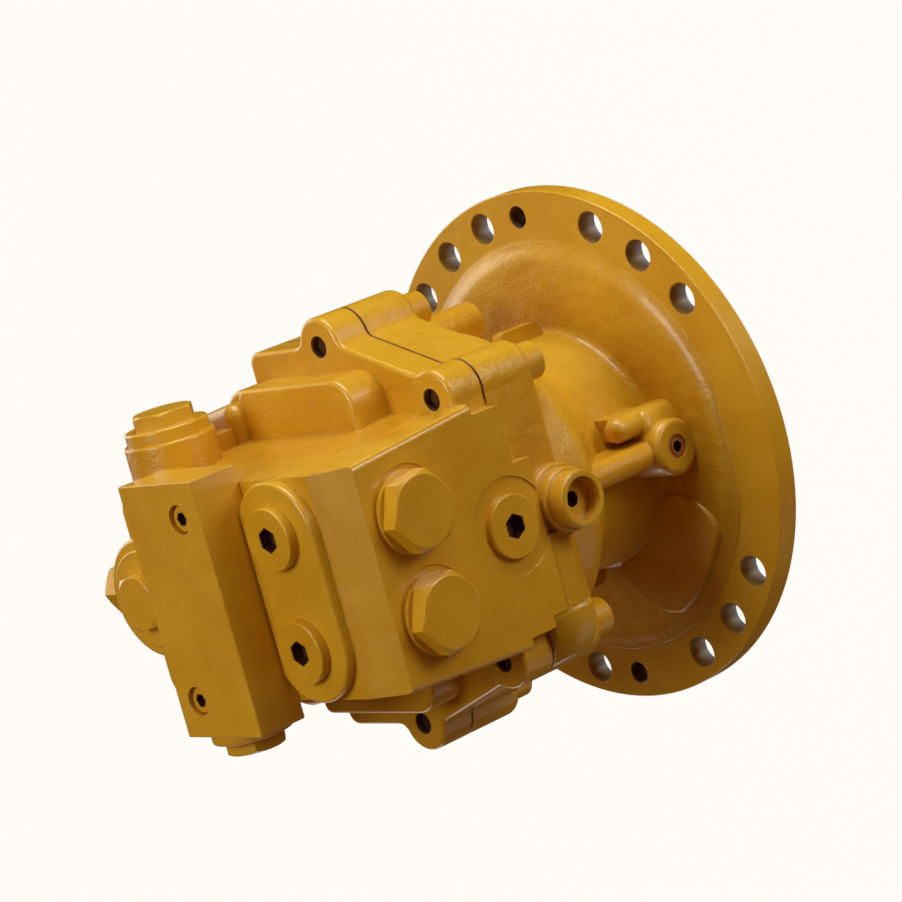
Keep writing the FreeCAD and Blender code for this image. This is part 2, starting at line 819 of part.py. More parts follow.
# Four rounded corners, symmetric about the XZ plane
def symmetric(low_x, low_half, low_rounding, high_x, high_half, high_rounding):
    return [(low_x, -low_half, low_rounding), (high_x, -high_half, high_rounding),
            (high_x, high_half, high_rounding), (low_x, low_half, low_rounding)]


# Rounded frustum between two outlines, for the cast body behind the joint
def cast_body():
    low_z = valve_flange_z - 4
    low = symmetric(rear_body_x, shelf_half_width, rear_body_rounding, plug_face_x, shelf_half_width, 4.0)
    high = symmetric(rear_body_x + rear_body_taper, rear_half_width, rear_body_rounding,
                     plug_face_x, rear_half_width, 4.0)
    low_wire = rounded_wire(low, lambda p: point(p.x, p.y, low_z))
    high_wire = rounded_wire(high, lambda p: point(p.x, p.y, rear_z))
    body = Part.makeLoft([low_wire, high_wire], True, True)

    # The rear face falls away towards the plug face
    slope_x = plug_face_x - rear_slope_run
    end_x = plug_face_x + 1
    slope = [(slope_x, rear_z), (end_x, plug_face_rear_z), (end_x, rear_z + 1), (slope_x, rear_z + 1)]
    corners = [point(x, -shelf_half_width, z) for x, z in slope + slope[:1]]
    return body.cut(Part.Face(Part.makePolygon(corners)).extrude(point(0, 2 * shelf_half_width, 0)))


# The two stepped blocks on the back of the joint flange, and the wall that the main ports open in
def stepped_blocks():
    low_z = valve_flange_z - 4
    hump = plate(symmetric(hump_low_x, hump_half_width, hump_rim_rounding * 2,
                           hump_high_x, hump_half_width, hump_corner_rounding), low_z, hump_z)
    hump = hump.makeFillet(hump_rim_rounding, edges_at(hump, hump_z))
    far = plate(symmetric(far_block_low_x, far_block_end_half_width, far_block_rounding * 2,
                          far_block_high_x, far_block_half_width, far_block_rounding + 1), low_z, far_block_z)
    far = far.makeFillet(far_block_rounding, edges_at(far, far_block_z))
    port_wall = plate(symmetric(left_x, port_pad_half_width, port_pad_rounding,
                                far_block_high_x - 6, port_pad_half_width, 0), joint_z + 1, far_block_z)
    return [hump, far, port_wall]


# Cross boss that holds both relief valves, and the web under it
def relief_boss():
    boss = bar(relief_boss_radius, (relief_x, -relief_boss_y, relief_z), (relief_x, relief_boss_y, relief_z))
    boss = boss.makeFillet(2.0, [edge for edge in boss.Edges if abs(edge.CenterOfMass.y) > relief_boss_y - 1])
    half = relief_web_half_width
    web_y = relief_boss_y - far_block_rounding
    web = box(relief_x - half, relief_x + half, -web_y, web_y, far_block_z - far_block_rounding, relief_z)
    return [boss, web]


def rear_pad():
    reach = rear_pad_half_pitch + rear_pad_radius
    rounding = rear_pad_radius * 0.99
    low_x = rear_pad_x - rear_pad_radius
    corners = symmetric(low_x, reach, rounding, low_x + 2 * rear_pad_radius, reach, rounding)
    pad = plate(corners, rear_z - 20, rear_pad_z)
    return pad.makeFillet(2.0, edges_at(pad, rear_pad_z))


def valve_casing():
    flange = joint_plate(left_x, valve_flange_z, valve_rim_rounding)
    side_block = box(40, plug_face_x, -plug_face_half_width, plug_face_half_width, joint_z, valve_flange_z)
    tongue = box(side_x + free_gap * 2, plug_face_x, tongue_low_y, tongue_high_y, tongue_z, joint_z + 1)
    round_boss = disc(round_boss_radius, hump_z - 10, round_boss_z, round_boss_x, 0)
    round_boss = round_boss.makeFillet(2.5, edges_at(round_boss, round_boss_z))
    end_boss = bar(gauge_plug_flats / 2 + 4, (round_boss_x, 0, gauge_plug_z),
                   (round_boss_x - round_boss_radius - 1, 0, gauge_plug_z))
    body = join([flange, side_block, tongue, cast_body(), round_boss, end_boss, rear_pad()]
                + stepped_blocks() + relief_boss())
    return body.cut(valve_casing_cuts())


def valve_casing_cuts():
    face_reach = shelf_half_width + 1
    cuts = [box(plug_face_x, drain_end_x, -face_reach, face_reach, tongue_z - 1, rear_pad_z + 1)]
    cuts.append(box(block_low_x - free_gap, block_high_x + block_pad_gap, -block_half_width - 1,
                    block_half_width + 1, rear_z, rear_pad_z + 5))
    for angle in ear_angles:
        x, y = polar(ear_circle_radius, angle)
        cuts.append(disc(screw_tapped_radius, joint_z - 1, valve_flange_z + 1, x, y))
    for angle in ear_angles[:4]:
        x, y = polar(ear_circle_radius, angle)
        cuts.append(disc(screw_tapped_radius + screw_face_margin, valve_flange_z, rear_z, x, y))
    for x, y in dowel_places():
        cuts.append(disc(dowel_radius + fit_gap, joint_z - 1, joint_z + dowel_depth, x, y))
    cuts.append(disc(rear_cup_radius + fit_gap, joint_z - 1, rear_bearing_low_z + rear_bearing_height + 3))
    pin_x, pin_y = valve_pin_place()
    cuts.append(disc(valve_pin_radius + fit_gap, joint_z - 1, joint_z + 5, pin_x, pin_y))
    pocket = disc(brake_pocket_radius, joint_z - 1, brake_pocket_high_z, brake_spring_circle_radius, 0)
    cuts += around(pocket, brake_spring_count, brake_spring_angle)

    # Working passages: kidneys to the main ports, up to the make-up checks and relief valves
    cuts += kidney_pair(joint_z - 1, main_port_z)
    duct_x = duct_cross_x - duct_shift_x
    for side in (1, -1):
        port_y = side * main_port_y
        duct_y = side * (main_port_y - duct_shift_y)
        cuts.append(bar(main_port_radius, (left_x - 1, port_y, main_port_z),
                        (left_x + main_port_depth, port_y, main_port_z)))
        cuts.append(bar(main_duct_radius, (left_x + main_port_depth - 1, port_y, main_port_z),
                        (duct_cross_x, port_y, main_port_z)))
        check_y = side * make_up_half_pitch
        cuts.append(disc(duct_radius, main_port_z, make_up_z, duct_x, duct_y))
        cuts.append(bar(duct_radius, (duct_x, duct_y, make_up_z), (make_up_bore_x + 2, check_y, make_up_z)))
        cuts.append(bar(make_up_bore_radius, (make_up_bore_x, check_y, make_up_z),
                        (plug_face_x + 1, check_y, make_up_z)))
        cuts.append(bar(spot_face_radius, (plug_face_x - spot_face_depth, check_y, make_up_z),
                        (plug_face_x + 1, check_y, make_up_z)))
        cuts.append(disc(plunger_bore_radius, plunger_bore_z, rear_pad_z - socket_thread_length,
                         rear_pad_x, side * rear_pad_half_pitch))
        cuts.append(disc(socket_thread_radius + fit_gap, rear_pad_z - socket_thread_length,
                         rear_pad_z + 1, rear_pad_x, side * rear_pad_half_pitch))
        seat_y = side * relief_seat_y
        cuts.append(bar(relief_bore_radius, (relief_x, seat_y, relief_z),
                        (relief_x, side * (relief_boss_y + 1), relief_z)))
        cuts.append(disc(duct_radius, main_port_z, relief_z, relief_x, port_y))
        screw_x, screw_y = block_screw_place(side)
        tapped_z = rear_z - block_screw_length - 4
        cuts.append(disc(block_screw_radius + fit_gap, tapped_z, rear_z + 1, screw_x, screw_y))
        port_y = side * block_port_half_pitch
        cuts.append(disc(block_port_radius, rear_z - 12, rear_z + 1, block_centre_x, port_y))
    between = relief_seat_y + 1
    cuts.append(bar(duct_radius, (relief_x, -between, relief_z), (relief_x, between, relief_z)))
    plug_z = round_boss_z - round_plug_thread_length - 1
    cuts.append(disc(round_plug_thread_radius + fit_gap, plug_z, round_boss_z + 1, round_boss_x, 0))
    end_x = round_boss_x - round_boss_radius - 1
    gauge_x = end_x + gauge_thread_length + 2
    cuts.append(bar(gauge_thread_radius + fit_gap, (gauge_x, 0, gauge_plug_z), (end_x - 1, 0, gauge_plug_z)))
    cuts.append(bar(gauge_drill_radius, (relief_x, 0, relief_z + 3), (gauge_x - 1, 0, gauge_plug_z - 3)))

    # The side plug, in a spot face of its own
    seat_x = plug_face_x - spot_face_depth
    depth = socket_thread_length + 4
    cuts.append(bar(side_spot_radius, (seat_x, side_plug_y, side_plug_z),
                    (plug_face_x + 1, side_plug_y, side_plug_z)))
    cuts.append(bar(side_thread_radius + fit_gap, (seat_x - depth, side_plug_y, side_plug_z),
                    (seat_x, side_plug_y, side_plug_z)))
    return cuts


def valve_pin_place():
    return polar(valve_plate_radius - valve_pin_inset, 0.0)


def block_screw_place(side):
    return block_centre_x + side * block_screw_x, side * block_screw_y


def kidney_pair(low_z, high_z):
    slot = kidney(piston_circle_radius, kidney_width, valve_kidney_half_angle, low_z, high_z)
    slots = []
    for turn in (90.0, -90.0):
        copy = slot.copy()
        copy.rotate(point(0, 0, 0), point(0, 0, 1), turn)
        slots.append(copy)
    return slots


def joint_seal():
    groove = joint_seal_section - fit_gap
    return ring(joint_seal_radius - groove, joint_seal_radius + groove, joint_z - groove, joint_z)


# Socket head screw along +Z, its head below the seat
def joint_screws():
    screws = []
    for angle in ear_angles:
        x, y = polar(ear_circle_radius, angle)
        head = disc(screw_head_radius, ear_boss_z - screw_head_height, ear_boss_z, x, y)
        head = head.makeChamfer(1.2, [edge for edge in head.Edges if edge.BoundBox.ZMax < ear_boss_z - 1])
        low = ear_boss_z - screw_head_height
        socket = hexagon(screw_socket_flats, (x, y, low - 1), (x, y, low + screw_head_height / 2))
        shank = disc(screw_radius, ear_boss_z, joint_z, x, y)
        thread = disc(screw_tapped_radius - fit_gap, joint_z, joint_z + screw_tip_depth, x, y)
        screws.append(join([head, shank, thread]).cut(socket))
    return screws


def dowel_pins():
    pins = []
    for x, y in dowel_places():
        pins.append(disc(dowel_radius, joint_z - dowel_depth + 0.5, joint_z + dowel_depth - 0.5, x, y))
    return pins


# Lip seal: outer case, flexible lip and a dust lip in one section
def oil_seal():
    lip = seal_journal_radius + running_gap
    outer = seal_bore_radius - fit_gap
    high = seal_low_z + seal_height
    return turned([
        (lip, seal_low_z + 0.6, 0), (lip + 3.5, seal_low_z, 0), (outer, seal_low_z, 0.8), (outer, high, 0),
        (outer - 2.2, high, 0), (outer - 2.2, seal_low_z + 3, 0), (lip + 4.5, seal_low_z + 3, 0.8),
        (lip + 3.5, high - 2.0, 0), (lip, high - 3.0, 0), (lip + 1.8, seal_low_z + 3, 0)])


def split_ring(inner, outer, low_z, thickness, opening):
    body = ring(inner, outer, low_z, low_z + thickness)
    return body.cut(box(0, outer + 1, -opening / 2, opening / 2, low_z - 1, low_z + thickness + 1))


def seal_retaining_ring():
    return split_ring(seal_bore_radius - 4, seal_bore_radius + 1.8, seal_ring_z, seal_ring_thickness, 12.0)


def front_bearing_cup():
    high = bearing_low_z + bearing_height
    return turned([
        (cup_low_radius, bearing_low_z, 0), (bearing_bore_radius - fit_gap, bearing_low_z, 1.0),
        (bearing_bore_radius - fit_gap, high, 1.0), (cup_low_radius + race_rise, high, 0)])


def front_bearing_cone():
    bore = bearing_journal_radius + fit_gap
    high = bearing_low_z + bearing_height + 2
    top = cone_low_radius + race_rise
    return turned([
        (bore, bearing_low_z, 0), (cone_low_radius, bearing_low_z, 0),
        (top, bearing_low_z + bearing_height, 0),
        (top + 2, bearing_low_z + bearing_height, 0), (top + 2, high, 0.5), (bore, high, 0.5)])


def roller_line(step):
    mean = (cone_low_radius + cup_low_radius) / 2
    lower = mean + race_rise * 2.0 / bearing_height
    upper = mean + race_rise * (bearing_height - 1.5) / bearing_height
    angle = 360.0 * step / roller_count
    start = (*polar(lower, angle), bearing_low_z + 2.0)
    end = (*polar(upper, angle), bearing_low_z + bearing_height - 1.5)
    return start, end


def roller_radius():
    slope = race_rise / bearing_height
    return (cup_low_radius - cone_low_radius) / 2 / sqrt(1 + slope * slope) - 2 * running_gap


def front_bearing_rollers():
    return [bar(roller_radius(), *roller_line(step)) for step in range(roller_count)]


def front_bearing_cage():
    mean = (cone_low_radius + cup_low_radius) / 2
    low = bearing_low_z + 0.5
    high = bearing_low_z + bearing_height - 0.2
    slope = race_rise / bearing_height
    wall = 0.9
    shell = turned([
        (mean - wall + slope * 0.5, low, 0), (mean + wall + slope * 0.5, low, 0),
        (mean + wall + slope * (bearing_height - 0.2), high, 0),
        (mean - wall + slope * (bearing_height - 0.2), high, 0)])
    pockets = [bar(roller_radius() + 0.15, *roller_line(step)) for step in range(roller_count)]
    return shell.cut(pockets)


def rear_bearing_cup():
    high = rear_bearing_low_z + rear_bearing_height
    return ring(rear_cup_inner_radius, rear_cup_radius, rear_bearing_low_z, high)


def rear_bearing_sleeve():
    low = rear_bearing_low_z - 1.0
    return ring(tail_radius + fit_gap, rear_sleeve_radius, low, low + rear_bearing_height + 2)


def needle_place(step):
    mean = (rear_sleeve_radius + rear_cup_inner_radius) / 2
    return polar(mean, 360.0 * step / needle_count)


def rear_bearing_needles():
    radius = (rear_cup_inner_radius - rear_sleeve_radius) / 2 - running_gap
    low = rear_bearing_low_z + 2
    high = rear_bearing_low_z + rear_bearing_height - 2
    return [disc(radius, low, high, *needle_place(step)) for step in range(needle_count)]


def rear_bearing_cage():
    radius = (rear_cup_inner_radius - rear_sleeve_radius) / 2 + 0.1
    low = rear_bearing_low_z
    high = rear_bearing_low_z + rear_bearing_height
    wall = ring(rear_sleeve_radius + 1.2, rear_cup_inner_radius - 1.2, low + 0.5, high - 0.5)
    pockets = [disc(radius, low + 1.9, high - 1.9, *needle_place(step)) for step in range(needle_count)]
    return wall.cut(pockets)


# Drive shaft with an external spline on its free end
def drive_shaft():
    cone_top_z = bearing_low_z + bearing_height + 2
    core = turned([
        (0, shaft_end_z, 0), (spline_root_radius, shaft_end_z, 1.5), (spline_root_radius, spline_top_z, 0),
        (seal_journal_radius, spline_top_z, 1.5), (seal_journal_radius, seal_height + 1, 0),
        (bearing_journal_radius, seal_height + 1, 0.5), (bearing_journal_radius, cone_top_z, 0),
        (shaft_shoulder_radius - 1, cone_top_z, 0),
        (shaft_shoulder_radius - 1, cavity_floor_z, 1.0),
        (inner_shaft_radius, cavity_floor_z + 12, 0), (inner_shaft_radius, tail_z, 0.5),
        (tail_radius, tail_z, 0), (tail_radius, shaft_top_z, 1.0), (0, shaft_top_z, 0)])
    pitch = 2 * pi * spline_tip_radius / spline_teeth
    root_half = pitch * 0.33
    tip_half = pitch * 0.2
    foot = spline_root_radius - 1
    low_z = shaft_end_z + 2
    section = [(foot, -root_half), (spline_tip_radius, -tip_half), (spline_tip_radius, tip_half),
               (foot, root_half), (foot, -root_half)]
    tooth = Part.Face(Part.makePolygon([point(x, y, low_z) for x, y in section]))
    tooth = tooth.extrude(point(0, 0, spline_top_z - low_z))
    return join([core] + around(tooth, spline_teeth))


# Fixed swash plate: a disc whose sliding face is tilted about the Y axis
def swash_plate():
    blank_z = cavity_floor_z + swash_blank_height
    body = disc(swash_radius, cavity_floor_z, blank_z)
    reach = swash_radius * 1.5
    cut_above = box(-reach, reach, -reach, reach, 0, reach)
    cut_above.rotate(point(0, 0, 0), point(0, 1, 0), swash_angle)
    cut_above.translate(point(0, 0, swash_centre_z))
    bore = disc(swash_bore_radius, cavity_floor_z - 1, blank_z + 1)
    holes = [disc(swash_pin_radius + fit_gap, cavity_floor_z - 1, cavity_floor_z + 8, x, y)
             for x, y in swash_pin_places()]
    return body.cut([cut_above, bore] + holes)


def swash_pins():
    return [disc(swash_pin_radius, cavity_floor_z - swash_pin_depth + 0.5, cavity_floor_z + 7, x, y)
            for x, y in swash_pin_places()]


def piston_angle(step):
    return 360.0 * step / piston_count


# Centre of a piston's ball, on the plane through the retainer centre
def ball_centre(step):
    x, y = polar(piston_circle_radius, piston_angle(step))
    return x, y, ball_centre_z - x * tan(tilt)


def swash_normal():
    return sin(tilt), 0.0, cos(tilt)


def along_normal(place, distance):
    return tuple(place[axis] + swash_normal()[axis] * distance for axis in range(3))


def shoes():
    made = []
    for step in range(piston_count):
        centre = ball_centre(step)
        foot = along_normal(centre, running_gap - ball_height)
        pad = bar(shoe_pad_radius, foot, along_normal(foot, shoe_pad_thickness))
        neck = bar(shoe_neck_radius, along_normal(foot, 1), along_normal(foot, shoe_height))
        socket = Part.makeSphere(ball_radius, point(*centre))
        oil_hole = bar(1.2, along_normal(foot, -1), centre)
        made.append(join([pad, neck]).cut([socket, oil_hole]))
    return made


def retainer_plate():
    centre = (0.0, 0.0, ball_centre_z)
    low = along_normal(centre, shoe_pad_thickness - ball_height + running_gap + fit_gap)
    high = along_normal(low, retainer_thickness)
    body = bar(retainer_radius, low, high)
    cuts = [Part.makeSphere(retainer_ball_radius + free_gap, point(*centre))]
    for step in range(piston_count):
        foot = along_normal(ball_centre(step), -ball_height)
        cuts.append(bar(shoe_neck_radius + 0.4, foot, along_normal(foot, shoe_height)))
    return body.cut(cuts)


def retainer_ball():
    ball = Part.makeSphere(retainer_ball_radius, point(0, 0, ball_centre_z))
    ball = ball.common(disc(retainer_ball_radius + 1, retainer_ball_low_z, retainer_ball_high_z))
    return ball.cut(disc(inner_shaft_radius + fit_gap, retainer_ball_low_z - 1, retainer_ball_high_z + 1))


def push_pins():
    pin = disc(push_pin_radius, retainer_ball_high_z, spring_chamber_z, push_pin_circle_radius, 0)
    return around(pin, push_pin_count)


def pistons():
    made = []
    for step in range(piston_count):
        x, y, z = ball_centre(step)
        ball = Part.makeSphere(ball_radius - running_gap, point(x, y, z))
        neck = disc(piston_neck_radius, z, z + piston_neck_length + 1, x, y)
        low = z + piston_neck_length
        body = disc(piston_radius, low, low + piston_length, x, y)
        body = body.makeChamfer(1.5, [edge for edge in body.Edges if edge.BoundBox.ZMax < low + 1])
        top = low + piston_length
        hollow = disc(piston_hollow_radius, top - piston_hollow_depth, top + 1, x, y)
        made.append(join([ball, neck, body]).cut(hollow))
    return made


def cylinder_block():
    body = disc(barrel_radius, barrel_low_z, barrel_high_z)
    body = body.makeChamfer(2.0, [edge for edge in body.Edges if edge.BoundBox.ZMax < barrel_low_z + 1])
    half = barrel_spline_width / 2
    spline = box(barrel_radius - 4, barrel_spline_radius, -half, half,
                 plate_chamber_z - 4, barrel_spline_top_z)
    body = join([body] + around(spline, barrel_spline_count))
    cuts = [disc(inner_shaft_radius + fit_gap, barrel_low_z - 1, barrel_high_z + 1)]
    cuts.append(disc(spring_chamber_radius, spring_chamber_z, barrel_high_z + 1))
    cuts.append(disc(snap_ring_radius + fit_gap, snap_ring_z, snap_ring_z + snap_ring_thickness + fit_gap))
    pin_hole = disc(push_pin_radius + 2 * running_gap, barrel_low_z - 1, spring_chamber_z + 1,
                    push_pin_circle_radius, 0)
    cuts += around(pin_hole, push_pin_count)
    bore = disc(piston_radius + running_gap, barrel_low_z - 1, barrel_bore_top_z, piston_circle_radius, 0)
    port = kidney(piston_circle_radius, kidney_width * 0.8, 9.0, barrel_bore_top_z - 1, barrel_high_z + 1)
    cuts += around(bore, piston_count)
    cuts += around(port, piston_count)
    return body.cut(cuts)


def spring_seats():
    inner = inner_shaft_radius + free_gap
    outer = spring_chamber_radius - free_gap
    low = ring(inner, outer, spring_chamber_z, spring_chamber_z + spring_seat_thickness)
    high = ring(inner, outer, snap_ring_z - spring_seat_thickness, snap_ring_z)
    return [low, high]


def block_spring():
    low = spring_chamber_z + spring_seat_thickness
    high = snap_ring_z - spring_seat_thickness
    return coil_spring(spring_chamber_radius - 1.2, 5.0, 3.0, low, high, 4)


def snap_ring():
    return split_ring(spring_chamber_radius - 4.5, snap_ring_radius, snap_ring_z, snap_ring_thickness, 10.0)


def friction_plates():
    plates = []
    for number in range(friction_plate_count):
        low = plate_chamber_z + plate_pitch * (2 * number + 1)
        body = ring(barrel_radius + free_gap, friction_plate_radius, low, low + plate_thickness)
        half = barrel_spline_width / 2 + free_gap
        notch = box(barrel_radius - 4, barrel_spline_radius + free_gap, -half, half,
                    low - 1, low + plate_thickness + 1)
        plates.append(body.cut(around(notch, barrel_spline_count)))
    return plates


def separator_plates():
    plates = []
    for number in range(friction_plate_count + 1):
        low = plate_chamber_z + plate_pitch * 2 * number
        high = low + plate_thickness
        body = ring(separator_inner_radius, plate_chamber_radius - free_gap, low, high)
        half = separator_lug_width / 2
        reach = plate_chamber_radius + separator_lug_reach
        lug = box(plate_chamber_radius - 4, reach, -half, half, low, high)
        plates.append(join([body] + around(lug, separator_lug_count, separator_lug_angle)))
    return plates


def brake_seal_places():
    lower = (plate_chamber_radius, brake_piston_low_z + 4.0)
    upper = (brake_bore_radius, brake_step_z + 8.0)
    return [lower, upper]


# Stepped brake piston, pressed on the plates by the springs and lifted by oil under its step
def brake_piston():
    small = plate_chamber_radius - running_gap
    large = brake_bore_radius - running_gap
    step_z = brake_step_z + free_gap
    inner = brake_piston_inner_radius
    body = turned([
        (inner, brake_piston_low_z, 1.0), (small, brake_piston_low_z, 1.0), (small, step_z, 0),
        (large, step_z, 0), (large, brake_piston_top_z, 1.0), (inner, brake_piston_top_z, 1.0)])
    cuts = []
    for radius, low in brake_seal_places():
        cuts.append(ring(radius - brake_seal_section, radius + 1, low, low + brake_seal_section))
    pocket = disc(brake_pocket_radius, brake_pocket_low_z, brake_piston_top_z + 1,
                  brake_spring_circle_radius, 0)
    return body.cut(cuts + around(pocket, brake_spring_count, brake_spring_angle))


def brake_seals():
    seals = []
    for radius, low in brake_seal_places():
        seals.append(ring(radius - brake_seal_section + fit_gap, radius - running_gap, low + fit_gap,
                          low + brake_seal_section - fit_gap))
    return seals


def brake_springs():
    spring = coil_spring(brake_spring_radius, 2.4, 2.6, brake_pocket_low_z, brake_pocket_high_z, 3)
    spring.translate(point(brake_spring_circle_radius, 0, 0))
    return around(spring, brake_spring_count, brake_spring_angle)


def valve_plate():
    body = disc(valve_plate_radius, valve_plate_low_z, joint_z)
    pin_x, pin_y = valve_pin_place()
    cuts = [disc(rear_sleeve_radius + 1, valve_plate_low_z - 1, joint_z + 1)]
    cuts.append(disc(valve_pin_radius + fit_gap, joint_z - 3, joint_z + 1, pin_x, pin_y))
    return body.cut(cuts + kidney_pair(valve_plate_low_z - 1, joint_z + 1))


def valve_plate_pin():
    pin_x, pin_y = valve_pin_place()
    return disc(valve_pin_radius, joint_z - 2.9, joint_z + 4.8, pin_x, pin_y)


# Large hexagon plugs with a washer face, hollow behind to hold the check springs
def make_up_plugs():
    plugs = []
    for side in (1, -1):
        y = side * make_up_half_pitch
        base_x = plug_face_x - spot_face_depth
        washer_x = base_x + make_up_washer_height
        washer = bar(make_up_washer_radius, (base_x, y, make_up_z), (washer_x, y, make_up_z))
        head = hexagon_head(make_up_flats, (washer_x, y, make_up_z), (make_up_end_x, y, make_up_z),
                            make_up_turn)
        inner_x = base_x - make_up_thread_length
        thread = bar(make_up_bore_radius - fit_gap, (inner_x, y, make_up_z), (base_x, y, make_up_z))
        hollow = bar(poppet_hollow_radius, (inner_x - 1, y, make_up_z),
                     (inner_x + make_up_hollow_depth, y, make_up_z))
        plugs.append(join([washer, head, thread]).cut(hollow))
    return plugs


def make_up_seats():
    seats = []
    for side in (1, -1):
        y = side * make_up_half_pitch
        start = (make_up_bore_x, y, make_up_z)
        end = (make_up_bore_x + make_up_seat_length, y, make_up_z)
        cone = Part.makeCone(make_up_seat_radius, make_up_seat_radius + seat_cone_depth, seat_cone_depth,
                             point(make_up_nose_x(), y, make_up_z), point(1, 0, 0))
        seat = bar(make_up_bore_radius - fit_gap, start, end)
        bore = bar(make_up_seat_radius, (make_up_bore_x - 1, y, make_up_z), end)
        seats.append(seat.cut([bore, cone]))
    return seats


# Length of a poppet's 45 degree nose, from just inside its seat to its guided skirt
def nose_length(seat_radius, bore_radius):
    return bore_radius - running_gap - seat_radius + seat_gap


# Poppet with a conical nose, a skirt that guides it, and a hollow back for its spring
def poppet(seat_radius, bore_radius, skirt_length):
    tip = seat_radius - seat_gap
    skirt_radius = bore_radius - running_gap
    length = nose_length(seat_radius, bore_radius)
    nose = Part.makeCone(tip, skirt_radius, length)
    skirt = disc(skirt_radius, length, length + skirt_length)
    hollow = disc(poppet_hollow_radius, length + poppet_crown, length + skirt_length + 1)
    return join([nose, skirt]).cut(hollow)


def make_up_nose_x():
    return make_up_bore_x + make_up_seat_length - seat_cone_depth


def make_up_poppet(side):
    body = poppet(make_up_seat_radius, make_up_bore_radius, poppet_skirt_length)
    return laid_along(body, (make_up_nose_x(), side * make_up_half_pitch, make_up_z), (1, 0, 0))


def make_up_spring(side):
    start = make_up_nose_x() + nose_length(make_up_seat_radius, make_up_bore_radius) + poppet_crown
    end = plug_face_x - spot_face_depth - make_up_thread_length + make_up_hollow_depth
    spring = coil_spring(poppet_hollow_radius - free_gap, 2.0, 1.8, 0, end - start, 4)
    return laid_along(spring, (start, side * make_up_half_pitch, make_up_z), (1, 0, 0))


def relief_plugs():
    start = relief_boss_y
    flange_y = start + relief_flange_height
    head_y = flange_y + relief_head_height
    flange = bar(relief_flange_radius, (relief_x, start, relief_z), (relief_x, flange_y, relief_z))
    rim = [edge for edge in flange.Edges if edge.BoundBox.YMin > flange_y - 1]
    flange = flange.makeFillet(1.5, rim)
    head = hexagon_head(relief_flats, (relief_x, flange_y, relief_z), (relief_x, head_y, relief_z),
                        relief_turn)
    inner_y = start - relief_thread_length
    thread = bar(relief_bore_radius - fit_gap, (relief_x, inner_y, relief_z), (relief_x, start, relief_z))
    hollow = bar(poppet_hollow_radius, (relief_x, inner_y - 1, relief_z),
                 (relief_x, inner_y + relief_hollow_depth, relief_z))
    return both_sides(join([flange, head, thread]).cut(hollow))


def relief_nose_y():
    return relief_seat_y + relief_sleeve_length - seat_cone_depth


def relief_sleeves():
    y = relief_seat_y
    high = y + relief_sleeve_length
    body = bar(relief_bore_radius - fit_gap, (relief_x, y, relief_z), (relief_x, high, relief_z))
    bore = bar(duct_radius, (relief_x, y - 1, relief_z), (relief_x, high + 1, relief_z))
    cone = Part.makeCone(duct_radius, duct_radius + seat_cone_depth, seat_cone_depth,
                         point(relief_x, relief_nose_y(), relief_z), point(0, 1, 0))
    return both_sides(body.cut([bore, cone]))


def relief_poppet_top():
    body = poppet(duct_radius, relief_bore_radius, poppet_skirt_length)
    return laid_along(body, (relief_x, relief_nose_y(), relief_z), (0, 1, 0))


def relief_spring_top():
    start = relief_nose_y() + nose_length(duct_radius, relief_bore_radius) + poppet_crown
    end = relief_boss_y - relief_thread_length + relief_hollow_depth
    spring = coil_spring(poppet_hollow_radius - free_gap, 2.6, 2.4, 0, end - start, 4)
    return laid_along(spring, (relief_x, start, relief_z), (0, 1, 0))


# Flanged plug with a hexagon socket, made along +Z with its seat at zero
def socket_plug(thread_radius, flange_height, hollow_radius=0.0, hollow_depth=0.0):
    flange = disc(socket_flange_radius, 0, flange_height)
    flange = flange.makeFillet(0.8, edges_at(flange, flange_height))
    thread = disc(thread_radius, -socket_thread_length, 0)
    cuts = [hexagon(socket_flats, (0, 0, flange_height - socket_depth), (0, 0, flange_height + 1), 30)]
    if hollow_depth:
        cuts.append(disc(hollow_radius, -socket_thread_length - 1, hollow_depth - socket_thread_length))
    return join([flange, thread]).cut(cuts)


def pad_plugs():
    plug = socket_plug(socket_thread_radius, socket_flange_height, plunger_spring_hollow,
                       plunger_spring_depth)
    places = [(rear_pad_x, side * rear_pad_half_pitch, rear_pad_z) for side in (1, -1)]
    return [laid_along(plug, place, (0, 0, 1)) for place in places]


def side_plug():
    plug = socket_plug(side_thread_radius, side_flange_height)
    return laid_along(plug, (plug_face_x - spot_face_depth, side_plug_y, side_plug_z), (1, 0, 0))


def plunger(side):
    y = side * rear_pad_half_pitch
    low = plunger_bore_z + free_gap
    high = low + plunger_body_length
    body = disc(plunger_bore_radius - running_gap, low, high, rear_pad_x, y)
    stem = disc(plunger_bore_radius / 3, high - 1, high + plunger_stem_length, rear_pad_x, y)
    return join([body, stem])


def plunger_spring(side):
    low = plunger_bore_z + free_gap + plunger_body_length
    high = rear_pad_z - socket_thread_length + plunger_spring_depth
    spring = coil_spring(plunger_spring_hollow - free_gap, 2.0, 1.8, low, high, 3)
    spring.translate(point(rear_pad_x, side * rear_pad_half_pitch, 0))
    return spring


# Small plug with a hexagon socket, its head just below the boss face on a copper washer
def passage_plug():
    seat_x = pocket_floor_x + passage_washer_thickness
    end_x = passage_boss_x - free_gap
    start_x = seat_x - passage_thread_length
    thread = bar(passage_thread_radius, (start_x, 0, passage_plug_z), (seat_x, 0, passage_plug_z))
    head = bar(passage_head_radius, (seat_x, 0, passage_plug_z), (end_x, 0, passage_plug_z))
    socket = hexagon(passage_plug_flats, (end_x - 4, 0, passage_plug_z), (end_x + 1, 0, passage_plug_z))
    return join([thread, head]).cut(socket)


def passage_washer():
    start = (pocket_floor_x, 0, passage_plug_z)
    end = (pocket_floor_x + passage_washer_thickness, 0, passage_plug_z)
    return bar(passage_washer_radius, start, end).cut(bar(passage_thread_radius + fit_gap, start, end))


